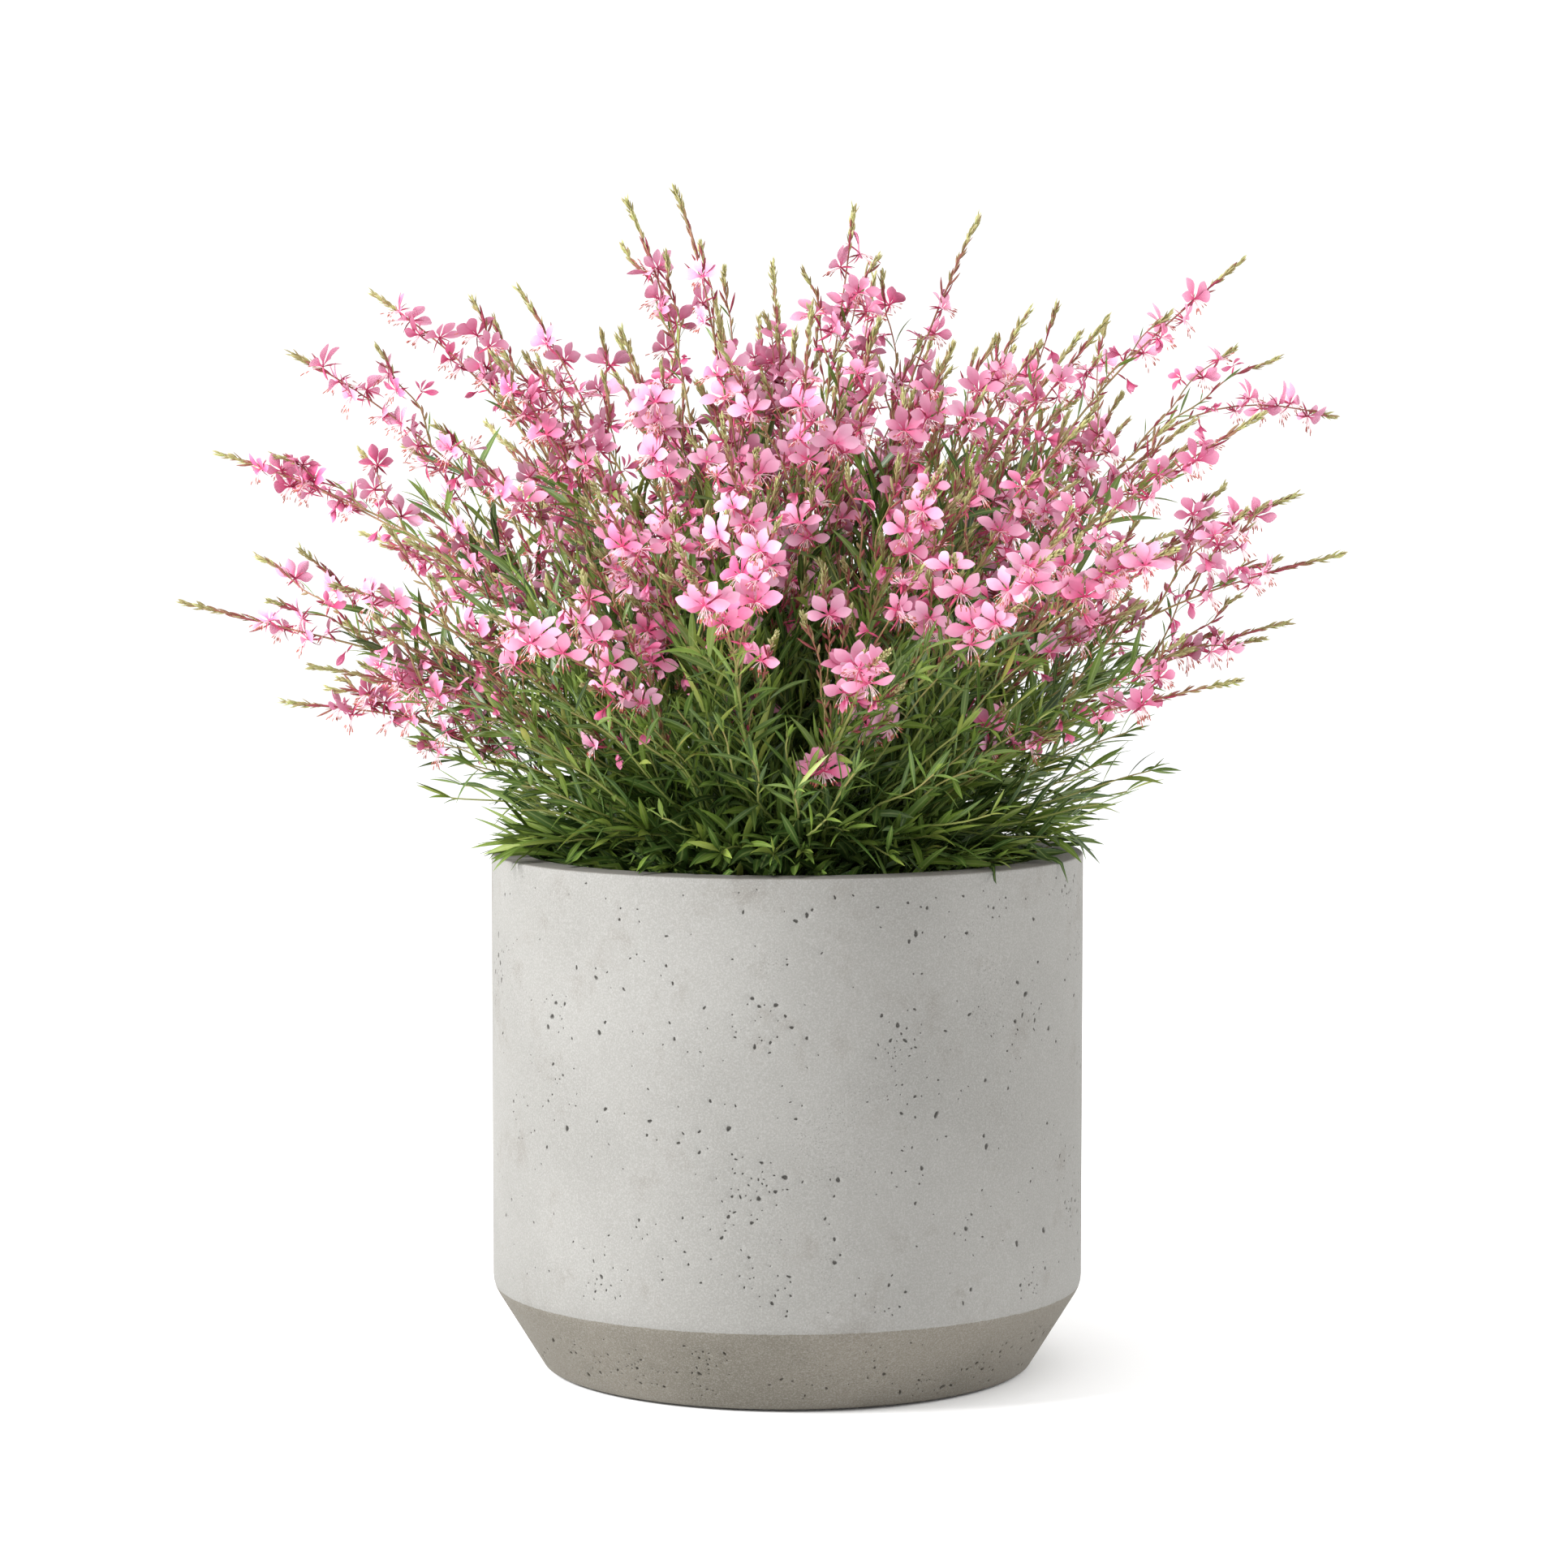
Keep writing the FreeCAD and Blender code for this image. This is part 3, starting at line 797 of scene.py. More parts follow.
def wand(growth, rng, foot, tip, bow, flowers, flowering_share, nod=0.0):
    """A flowering wand with its side branches."""
    path = bowed(rng, foot, tip, bow, 4.5 * MM, nod)
    growth.stem(path, 3.1 * MM, 1.1 * MM, 0.0, 0.85)
    budding = rng.uniform(26, 78) * MM
    dress_wand(growth, rng, path, budding, rng.integers(*flowers), rng.integers(1, 4), 0.60)
    turns = rng.uniform(0, 10)
    for _ in range(rng.integers(5, 8)):
        start = path.length * rng.uniform(0.34, 0.78)
        point, tangent = path.at(start)
        radial = spiral(tangent, turns)
        turns += 1
        length = min(rng.uniform(70, 150) * MM, (path.length - start) * rng.uniform(0.55, 0.85))
        lean = rng.uniform(0.30, 0.62)
        heading = unit(leaning(tangent, radial, lean) + 0.45 * UP)
        end = point + heading * length
        branch = bowed(rng, point, end, 0.05, 2.5 * MM, stations=16)
        growth.stem(branch, 1.4 * MM, 0.8 * MM, 0.55, 0.9)
        flowering = rng.random() < flowering_share
        budding = rng.uniform(18, 42) * MM
        open_flowers = rng.integers(1, 5) if flowering else 0
        dress_wand(growth, rng, branch, budding, open_flowers, rng.integers(0, 2), 0.0, small=0.85)
    return path


def low_spray(growth, rng, path):
    """A short flowering shoot from low on a wand, among the leaves."""
    start = path.length * rng.uniform(0.18, 0.38)
    point, tangent = path.at(start)
    outward = unit(np.array([point[0], point[1], 0.0]) + rng.normal(0, 0.03, 3) * [1, 1, 0])
    lean = rng.uniform(0.2, 0.7)
    end = point + unit(leaning(tangent, outward, lean)) * rng.uniform(75, 150) * MM
    spray = bowed(rng, point, end, 0.06, 3 * MM, stations=16)
    growth.stem(spray, 1.5 * MM, 0.8 * MM, 0.25, 0.9)
    budding, open_flowers = rng.uniform(14, 30) * MM, rng.integers(1, 4)
    dress_wand(growth, rng, spray, budding, open_flowers, rng.integers(1, 3), 0.45, small=0.8)


def leafy_shoot(growth, rng, foot, tip):
    """A flowerless shoot, clothed in narrow leaves from foot to tip."""
    path = bowed(rng, foot, tip, 0.07, 5 * MM, stations=24)
    growth.stem(path, 2.5 * MM, 1.1 * MM, 0.0, 0.3)
    sparse = np.interp(np.hypot(tip[0], tip[1]), [0.17, 0.23], [0.0, 3.0])
    turns = rng.uniform(0, 10)
    distance = 0.06 * path.length
    while distance < path.length:
        share = distance / path.length
        length = rng.uniform(28, 54) * MM * (1.0 - (0.40 + 0.08 * sparse) * share ** 2)
        tone = np.clip(rng.normal(0.40, 0.20) + 0.26 * share, 0.03, 0.90)
        lean = rng.uniform(0.35, 0.95) * (1.1 - 0.5 * share)
        add_leaf(growth, rng, path, distance, turns, length, lean, tone)
        turns += 1
        distance += rng.uniform(4.8, 9.0) * MM * (1 + sparse * share)
    tip_leaves(growth, rng, path, turns, 5 - int(sparse), 0.8, (16, 34), (0.1, 0.5), (0.55, 0.88))


def scattered(rng, middle, count):
    """Outward directions at random over a quarter of the planter, round its middle angle."""
    for _ in range(count):
        yield outward_at(middle + rng.uniform(-1, 1) * math.pi / 4)


def in_turn(rng, middle, count, slack):
    """Outward directions one after another over a quarter of the planter."""
    for k in range(count):
        yield outward_at(middle + ((k + rng.uniform(slack, 1 - slack)) / count - 0.5) * math.pi / 2)


def basal_leaves(growth, rng, middle, count):
    """Leaves from the crown itself, which fill the pot's mouth and lap over its rim."""
    for outward in scattered(rng, middle, count):
        start = outward * rng.uniform(0.018, 0.125) + UP * (SOIL_TOP + rng.uniform(6, 34) * MM)
        lean = rng.uniform(0.25, 1.25)
        sideways = np.cross(UP, outward) * rng.normal(0, 0.6)
        heading = outward * math.sin(lean) + UP * math.cos(lean) + sideways
        length = rng.uniform(42, 78) * MM
        tone = leaf_tone(rng, 0.26, 0.15, 0.0, 0.8)
        if rng.random() < 0.02:
            tone = rng.uniform(0.92, 1.0)
        width = length * rng.uniform(0.095, 0.160)
        bend, roll = rng.uniform(0.2, 1.3), rng.uniform(-0.8, 0.8)
        growth.leaves.add(start, heading, DOWN + 0.3 * outward, length, width, bend, roll, tone)


def mouth_leaves(growth, rng, middle, count):
    """Leaves standing in the ring of soil between the crown and the pot's lip."""
    for outward in scattered(rng, middle, count):
        start = outward * rng.uniform(0.095, 0.158) + UP * (SOIL_TOP + rng.uniform(2, 16) * MM)
        heading = outward * rng.uniform(0.0, 0.9) + UP + np.cross(UP, outward) * rng.normal(0, 0.8)
        length = rng.uniform(32, 60) * MM
        tone = leaf_tone(rng, 0.34, 0.18, 0.02, 0.85)
        width = length * rng.uniform(0.095, 0.160)
        bend, roll = rng.uniform(0.1, 1.3), rng.uniform(-0.8, 0.8)
        growth.leaves.add(start, heading, outward + 0.5 * DOWN, length, width, bend, roll, tone)


def lapping_leaves(growth, rng, middle, count):
    """Single leaves that lie across the rim and hang a little way down outside it."""
    for outward in scattered(rng, middle, count):
        start = outward * rng.uniform(0.135, 0.165) + UP * (HEIGHT + rng.uniform(0, 14) * MM)
        heading = outward + 0.35 * UP + np.cross(UP, outward) * rng.normal(0, 0.6)
        length = rng.uniform(38, 62) * MM
        width = length * rng.uniform(0.11, 0.16)
        tone = leaf_tone(rng, 0.36, 0.18, 0.03, 0.80)
        bend, roll = rng.uniform(0.5, 1.5), rng.uniform(-0.6, 0.6)
        growth.leaves.add(start, heading, DOWN, length, width, bend, roll, tone)


def mound_shoots(growth, rng, middle, count):
    """Slender leafy shoots between the rim and the wands, some with a few buds at the tip."""
    for outward in in_turn(rng, middle, count, 0.05):
        foot = outward * rng.uniform(0.035, 0.060) + UP * (SOIL_TOP + 5 * MM)
        tip = outward * rng.uniform(0.160, 0.262) + UP * rng.uniform(0.405, 0.510)
        path = bowed(rng, foot, tip, 0.05, 4 * MM, stations=20)
        growth.stem(path, 2.4 * MM, 1.0 * MM, 0.0, 0.45)
        turns = clothe(
            growth, rng, path, 0.25, (26, 52), (0.3, 1.1), (5.0, 10.0), 0.38, 0.15, shrink=0.45, full=1.1,
        )
        tip_leaves(growth, rng, path, turns, 4, 1, (12, 26), (0.1, 0.5), (0.4, 0.8))


def rim_sprigs(growth, rng, middle, count):
    """Short leafy shoots that lie out low over the rim, all the way round."""
    for outward in in_turn(rng, middle, count, 0.1):
        foot = outward * rng.uniform(0.045, 0.062) + UP * (SOIL_TOP + 5 * MM)
        reach = rng.uniform(0.148, 0.188) + 0.012 * abs(outward[0]) ** 3
        tip = outward * reach + UP * rng.uniform(0.352, 0.380)
        path = bowed(rng, foot, tip, 0.12, 5 * MM, stations=18)
        growth.stem(path, 2.2 * MM, 1.1 * MM, 0.0, 0.25)
        turns = clothe(growth, rng, path, 0.15, (28, 50), (0.25, 0.95), (5.5, 9.5), 0.42)
        tip_leaves(growth, rng, path, turns, 5, 1, (20, 42), (0.1, 0.5), (0.5, 0.85))


def shoots(node):
    """Foot and tip of every shoot solid in a CAD node, in order round the planter."""
    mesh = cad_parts[node].data
    points = np.empty(len(mesh.vertices) * 3)
    mesh.vertices.foreach_get("co", points)
    points, index = np.unique(points.reshape(-1, 3), axis=0, return_inverse=True)
    index = index.ravel()
    edges = np.empty(len(mesh.edges) * 2, int)
    mesh.edges.foreach_get("vertices", edges)
    a, b = index[edges.reshape(-1, 2)].T
    group = np.arange(len(points))
    while np.any(group[a] != group[b]):
        low = np.minimum(group[a], group[b])
        np.minimum.at(group, a, low)
        np.minimum.at(group, b, low)
    crown = np.array([0, 0, SOIL_TOP])
    found = []
    for label in np.unique(group):
        solid = points[group == label]
        away = np.linalg.norm(solid - crown, axis=1)
        line = unit(solid[away.argmax()] - solid[away.argmin()])
        along = solid @ line
        foot = solid[along < along.min() + 1 * MM].mean(axis=0)
        tip = solid[along > along.max() - 1 * MM].mean(axis=0)
        found.append((foot, tip))
    found.sort(key=lambda pair: math.atan2(pair[1][1], pair[1][0]))
    return found


SIDES = {"front": 270, "left": 180, "back": 90, "right": 0}  # degrees from +X
# what fills the mouth and the rim of each quarter, and how many of each
FILLING = [
    (basal_leaves, 105), (rim_sprigs, 12), (mound_shoots, 23), (lapping_leaves, 14), (mouth_leaves, 108),
]
KINDS = ("tall_wands", "spreading_wands", "arching_wands", "leafy_shoots")
LOW_TIP = 0.54  # wands whose tips lie lower than this flower less
# how far each kind bows, how many open flowers a wand has, and how many of its branches flower
HABITS = {
    "tall_wands": (0.02, (3, 6), 0.40),
    "spreading_wands": (0.055, (3, 6), 0.42),
    "arching_wands": (0.085, (4, 9), 0.62),
}


def grow(kind, side):
    """All that grows on the shoots of one CAD node."""
    growth = Growth()
    seed, side_number = KINDS.index(kind), list(SIDES).index(side)
    for number, (foot, tip) in enumerate(shoots(f"{kind}_{side}")):
        rng = np.random.default_rng([seed, side_number, number])
        if kind == "leafy_shoots":
            leafy_shoot(growth, rng, foot, tip)
            continue
        farthest = kind == "arching_wands" and tip[0] > 0.385
        nod = 0.10 if farthest else rng.uniform(0, 0.02)
        bow, flowers, flowering_share = HABITS[kind]
        if tip[2] < LOW_TIP:
            flowers, flowering_share = (3, 6), 0.45
        path = wand(growth, rng, foot, tip, bow, flowers, flowering_share, nod)
        for _ in range(rng.integers(3, 6)):
            leafy_branch(growth, rng, path)
        if rng.random() < 0.55:
            low_spray(growth, rng, path)
    if kind == "leafy_shoots":
        for number, (fill, count) in enumerate(FILLING):
            rng = np.random.default_rng([77 + number, side_number])
            fill(growth, rng, math.radians(SIDES[side]), count)
    return growth


# ----------------------------------------------------------------------- lathe and lumps


SEGMENTS = 240
BACK = math.pi / 2


def rounded(corners):
    """Points of an open outline whose corners are radius, height and rounding."""
    line = []
    for i, (r, z, rounding) in enumerate(corners):
        here = np.array([r, z])
        if rounding == 0:
            line.append(here)
            continue
        back = unit(np.array(corners[i - 1][:2]) - here)
        on = unit(np.array(corners[i + 1][:2]) - here)
        half = math.acos(np.dot(back, on)) / 2
        reach = rounding / math.tan(half)
        centre = here + unit(back + on) * rounding / math.sin(half)
        first, last = here + back * reach - centre, here + on * reach - centre
        a = math.atan2(first[1], first[0])
        sweep_angle = math.atan2(first[0] * last[1] - first[1] * last[0], np.dot(first, last))
        steps = max(3, round(abs(sweep_angle) / math.radians(11)))
        for k in range(steps + 1):
            angle = a + sweep_angle * k / steps
            line.append(centre + rounding * np.array([math.cos(angle), math.sin(angle)]))
    return np.array(line)


def rings_of(outline, segments=SEGMENTS):
    """Each outline point turned about the planter's axis, from the back round."""
    angle = BACK + np.arange(segments) * math.tau / segments
    r, z = outline[:, :1], outline[:, 1:]
    return np.stack([r * np.cos(angle), r * np.sin(angle), np.broadcast_to(z, (len(r), segments))], -1)


def ring_quads(rows, segments=SEGMENTS):
    """Quads between each ring number in rows and the ring after it."""
    i = np.arange(segments)
    j = (i + 1) % segments
    rows = np.asarray(rows)[:, None] * segments
    return np.stack([rows + i, rows + j, rows + segments + j, rows + segments + i], -1).reshape(-1, 4)


def lathe(batch, outline, segments=SEGMENTS, shift=None, tone=0.0):
    """A body turned from an outline whose two ends lie on the axis."""
    rings = rings_of(outline[1:-1], segments)
    if shift is not None:
        rings = rings + shift(rings)
    count = len(rings) * segments
    poles = np.array([[0, 0, outline[0][1]], [0, 0, outline[-1][1]]])
    i = np.arange(segments)
    j = (i + 1) % segments
    first = np.stack([j, i, np.full(segments, count)], -1)
    last = np.stack([i + count - segments, j + count - segments, np.full(segments, count + 1)], -1)
    points = np.concatenate([rings.reshape(-1, 3), poles])
    batch.add(points, [ring_quads(range(len(rings) - 1), segments), first, last], (tone, 0, 0))


def icosahedron():
    """Corners and faces of a regular icosahedron of radius one, standing on a corner."""
    ring = [(i * math.tau / 5, 1 / math.sqrt(5)) for i in range(5)]
    ring += [((i + 0.5) * math.tau / 5, -1 / math.sqrt(5)) for i in range(5)]
    level = 2 / math.sqrt(5)
    corners = [(0, 0, 1)] + [(level * math.cos(a), level * math.sin(a), z) for a, z in ring] + [(0, 0, -1)]
    faces = []
    for i in range(5):
        j = (i + 1) % 5
        faces += [(0, 1 + i, 1 + j), (1 + i, 6 + i, 1 + j), (1 + j, 6 + i, 6 + j), (6 + i, 11, 6 + j)]
    return np.array(corners), np.array(faces)


def lumps(batch, rng, centres, sizes, rough, tones):
    """Uneven lumps: an icosahedron each, pulled out of true, stretched and turned."""
    corners, faces = icosahedron()
    count = len(centres)
    shape = corners * (1 + rng.uniform(-rough, rough, (count, 12, 1)))
    shape = shape * sizes[:, None]
    yaw, tilt = rng.uniform(0, math.tau, count), rng.normal(0, 0.35, count)
    cy, sy, ct, st = np.cos(yaw), np.sin(yaw), np.cos(tilt), np.sin(tilt)
    x, y, z = shape[..., 0], shape[..., 1], shape[..., 2]
    x, z = x * ct[:, None] - z * st[:, None], x * st[:, None] + z * ct[:, None]
    x, y = x * cy[:, None] - y * sy[:, None], x * sy[:, None] + y * cy[:, None]
    points = np.stack([x, y, z], -1) + centres[:, None]
    paint = np.zeros((count * 12, 3))
    paint[:, 0] = np.repeat(tones, 12)
    batch.add(points, [(faces + np.arange(count)[:, None, None] * 12).reshape(-1, 3)], paint)


# ---------------------------------------------------------------------------- the casting

# clusters of open pores: degrees from the front towards +X, height in mm, how many
WALL_PORES = [
    (-4, 256, 15), (21, 246, 17), (50, 246, 9), (-48, 253, 9), (25, 206, 8), (21, 163, 6),
    (-6, 154, 26), (-10, 133, 7), (-24, 117, 7), (-5, 91, 11), (-37, 87, 12), (17, 72, 10),
    (54, 76, 7), (67, 159, 4), (25, 329, 3), (43, 331, 4), (-7, 336, 3), (10, 337, 2),
    (1, 315, 4), (-31, 286, 3), (-18, 241, 4), (-62, 180, 5), (38, 120, 5), (-50, 200, 4),
]
FOOT_PORES = [
    (-48, 30, 6), (-34, 25, 13), (-30, 12, 5), (-15, 35, 14), (18, 38, 6), (48, 28, 7),
    (31, 12, 11), (44, 18, 5), (-20, 10, 7), (-41, 15, 6), (4, 22, 5), (62, 34, 6),
]
# the listed clusters, how many more clusters and single pores there are, and the mesh's row gap
WALL_SKIN = (WALL_PORES, 34, 640, 7.0 * MM)
FOOT_SKIN = (FOOT_PORES, 22, 110, 5.5 * MM)
FRONT_HALF_WIDTH = 70  # degrees either side of the front that the lists above cover
CLUSTER_SPREAD = (5.5, 9.0)  # mm, across and up
CLUSTER_FILL = 1.75  # pores tried for each one that a list counts


def pore_places(rng, listed, low, high, clusters, singles):
    """Angle from the back, distance up the panel and radius of each pore, none touching."""
    wanted = []
    for degrees, height, count in listed:
        wanted.append((180 + degrees, height * MM, count, *CLUSTER_SPREAD))
    for _ in range(clusters):
        away = rng.uniform(180 + FRONT_HALF_WIDTH, 540 - FRONT_HALF_WIDTH) % 360
        wanted.append((away, rng.uniform(low[1], high[1]), rng.integers(3, 16), *CLUSTER_SPREAD))
    for _ in range(singles):
        wanted.append((rng.uniform(0, 360), rng.uniform(low[1], high[1]), 1, 0.0, 0.0))
    run = np.linalg.norm(high - low)
    found = []
    for degrees, height, count, wide, tall in wanted:
        for _ in range(round(count * CLUSTER_FILL) if wide else 1):
            angle = math.radians(degrees) + rng.normal(0, wide * MM) / (0.55 * OUTER_RADIUS)
            up = (height - low[1]) / (high[1] - low[1]) * run + rng.normal(0, tall * MM)
            radius = min(0.40 + rng.exponential(0.36), 1.8) * MM
            edge = 3 * MM + radius
            if not (edge < up < run - edge and 0.02 < angle < math.tau - 0.02):
                continue
            u = angle * OUTER_RADIUS
            near = [math.hypot(u - a, up - b) - 1.6 * (radius + c) for a, b, c in found]
            if not near or min(near) > 0.5 * MM:
                found.append((u, up, radius))
    return found


def pore_rings(rng, u, v, radius):
    """Points on the unrolled skin for one pore, with depth and painted shade: guard, lip, wall, bed."""
    count = 12 if radius > 0.8 * MM else 8
    turn = np.arange(count) * math.tau / count
    lobes = 1 + 0.13 * np.sin(2 * turn + rng.uniform(0, 6)) + 0.10 * np.sin(3 * turn + rng.uniform(0, 6))
    slant = rng.uniform(0, math.pi)
    stretch = rng.uniform(1.0, 1.45)
    # each level: share of the radius, depth, and the painted shade darkening the pore's inside
    levels = [(1.32, 0.0, 0.0), (1.0, 0.12, 0.35), (0.74, 0.85, 1.0), (0.34, 1.15, 1.0)]
    rows = []
    for share, depth, dark in levels:
        x = share * radius * lobes * np.cos(turn) * stretch
        y = share * radius * lobes * np.sin(turn) / stretch
        across = u + x * math.cos(slant) - y * math.sin(slant)
        up = v + x * math.sin(slant) + y * math.cos(slant)
        rows += [(a, b, depth * radius, dark) for a, b in zip(across, up)]
    rows.append((u, v, 1.2 * radius, 1.0))
    return rows


def triangulated(flat, turn):
    """Triangles between flat points and the area of each, doubled: turn 1 winds them
    anticlockwise and -1 clockwise."""
    _, _, faces, origin, _, _ = geometry.delaunay_2d_cdt([Vector(p) for p in flat], [], [], 0, 1e-9)
    first = [group[0] for group in origin]
    triangles = np.array([[first[k] for k in face] for face in faces])
    a, b, c = np.array(flat)[triangles].transpose(1, 0, 2)
    area = (b[:, 0] - a[:, 0]) * (c[:, 1] - a[:, 1]) - (b[:, 1] - a[:, 1]) * (c[:, 0] - a[:, 0])
    return np.where(area[:, None] * turn < 0, triangles[:, ::-1], triangles), np.abs(area)


def pitted_panel(batch, rng, low, high, low_ids, high_ids, pores, row_gap):
    """The skin between two rings of the casting, triangulated round its open pores."""
    run = np.linalg.norm(high - low)
    girth = math.tau * OUTER_RADIUS
    columns = np.linspace(0, girth, SEGMENTS + 1)
    rows = [(u, 0.0, 0.0, 0.0) for u in columns] + [(u, run, 0.0, 0.0) for u in columns]
    ids = [low_ids[k % SEGMENTS] for k in range(SEGMENTS + 1)]
    ids += [high_ids[k % SEGMENTS] for k in range(SEGMENTS + 1)]
    fresh = []
    centres = np.array([(u, v) for u, v, _ in pores])
    reach = np.array([2.0 * r + 1.2 * MM for _, _, r in pores])

    def add(row):
        rows.append(row)
        ids.append(batch.count + len(fresh))
        fresh.append(row)

    for level in range(1, round(run / row_gap)):
        v = level * run / round(run / row_gap)
        shifted = columns[:-1] + (level % 2) * girth / SEGMENTS / 2
        for k, u in enumerate(shifted):
            if np.all(np.hypot(centres[:, 0] - u, centres[:, 1] - v) > reach):
                add((u, v, 0.0, 0.0))
                if k == 0 and level % 2 == 0:
                    rows.append((girth, v, 0.0, 0.0))
                    ids.append(ids[-1])
    for u, v, radius in pores:
        for row in pore_rings(rng, u, v, radius):
            add(row)

    triangles, area = triangulated([row[:2] for row in rows], 1)
    triangles = np.array(ids)[triangles[area > 1e-12]]
    whole = np.all(triangles != np.roll(triangles, 1, axis=1), axis=1)

    fresh = np.array(fresh)
    angle = BACK + fresh[:, 0] / OUTER_RADIUS
    share = fresh[:, 1] / run
    slope = (high - low) / run
    radial = low[0] + (high[0] - low[0]) * share - slope[1] * fresh[:, 2]
    level = low[1] + (high[1] - low[1]) * share + slope[0] * fresh[:, 2]
    points = np.stack([radial * np.cos(angle), radial * np.sin(angle), level], -1)
    paint = np.zeros((len(fresh), 3))
    # the painted shade inside the pores goes into the mesh's paint
    paint[:, 0] = fresh[:, 3]
    batch.add(points, [], paint)
    batch.faces.append(triangles[whole])


def underside(batch, outer_ids, outer_ring, inner_ids, inner_ring):
    """The flat underside between its edge and the plug recess, with four recesses for pads."""
    flat = [p[:2] for p in outer_ring] + [p[:2] for p in inner_ring]
    ids = list(outer_ids) + list(inner_ids)
    steps = 36
    turn = np.arange(steps) * math.tau / steps
    middles = []
    for k in range(4):
        angle = math.radians(45 + 90 * k)
        middle = np.array([PAD_CIRCLE * math.cos(angle), PAD_CIRCLE * math.sin(angle)])
        middles.append(middle)
        x = middle[0] + PAD_RECESS_RADIUS * np.cos(turn)
        y = middle[1] + PAD_RECESS_RADIUS * np.sin(turn)
        mouth = np.stack([x, y, np.full(steps, UNDERSIDE)], -1)
        roof = np.stack([x, y, np.full(steps, PAD_RECESS_TOP)], -1)
        points = np.concatenate([mouth, roof, [[*middle, PAD_RECESS_TOP]]])
        i = np.arange(steps)
        j = (i + 1) % steps
        walls = np.stack([i, i + steps, j + steps, j], -1)
        top = np.stack([j + steps, i + steps, np.full(steps, 2 * steps)], -1)
        flat += [p[:2] for p in mouth]
        ids += [batch.count + n for n in range(steps)]
        batch.add(points, [walls, top])
    triangles, _ = triangulated(flat, -1)
    middle = np.array(flat)[triangles].mean(axis=1)
    keep = np.hypot(middle[:, 0], middle[:, 1]) > PLUG_RECESS_RADIUS
    for centre in middles:
        keep &= np.hypot(middle[:, 0] - centre[0], middle[:, 1] - centre[1]) > PAD_RECESS_RADIUS
    batch.faces.append(np.array(ids)[triangles[keep]])


def planter_casting():
    slope = (OUTER_RADIUS - BASE_RADIUS) / (SHOULDER - UNDERSIDE)
    wall = OUTER_RADIUS - INNER_RADIUS
    inner_base = BASE_RADIUS - wall * math.hypot(1, slope) + slope * (FLOOR_TOP - UNDERSIDE)
    inner_shoulder = FLOOR_TOP + (INNER_RADIUS - inner_base) / slope
    outline = rounded([
        (BASE_RADIUS - 14 * MM, UNDERSIDE, 0),
        (BASE_RADIUS, UNDERSIDE, 5 * MM),
        (OUTER_RADIUS, SHOULDER, 20 * MM),
        (OUTER_RADIUS, HEIGHT, 1.6 * MM),
        (INNER_RADIUS, HEIGHT, 2.5 * MM),
        (INNER_RADIUS, inner_shoulder, 20 * MM),
        (inner_base, FLOOR_TOP, 8 * MM),
        (DRAIN_RADIUS, FLOOR_TOP, 0),
        (DRAIN_RADIUS, PLUG_RECESS_TOP, 0),
        (PLUG_RECESS_RADIUS, PLUG_RECESS_TOP, 0),
        (PLUG_RECESS_RADIUS, UNDERSIDE, 0),
    ])
    rng = np.random.default_rng(41)
    batch = Batch()
    rings = rings_of(outline)
    batch.add(rings, [])
    ids = np.arange(len(outline) * SEGMENTS).reshape(-1, SEGMENTS)
    plain = []
    for k, (low, high) in enumerate(zip(outline, outline[1:])):
        outside = min(low[0], high[0]) > BASE_RADIUS - 5 * MM and high[1] - low[1] > 30 * MM
        if not outside:
            plain.append(k)
            continue
        on_foot = low[1] < SHOULDER / 2
        listed, clusters, singles, row_gap = FOOT_SKIN if on_foot else WALL_SKIN
        pores = pore_places(rng, listed, low, high, clusters, singles)
        pitted_panel(batch, rng, low, high, ids[k], ids[k + 1], pores, row_gap)
    batch.faces.append(ring_quads(plain))
    underside(batch, ids[0], rings[0], ids[-1], rings[-1])
    piece = batch.build("planter_casting", concrete(), crease=32)
    place(piece, "planter", "concrete", "planter_shell")


# ------------------------------------------------------------------------- the pot's fill


def uneven(rng, low, high, rise, cell):
    """A shift that roughens whatever of a turned body lies between two radii, above soil level."""
    def shift(points):
        radius = np.hypot(points[..., 0], points[..., 1])
        inside = (radius > low) & (radius < high) & (points[..., 2] > SOIL_TOP + 1 * MM)
        lift = smooth_noise(rng, points[..., 0], points[..., 1], cell)
        lift = lift + 0.5 * smooth_noise(rng, points[..., 0], points[..., 1], cell / 2.7)
        out = np.zeros_like(points)
        out[..., 2] = np.where(inside, rise * (0.7 + lift), 0)
        return out
    return shift


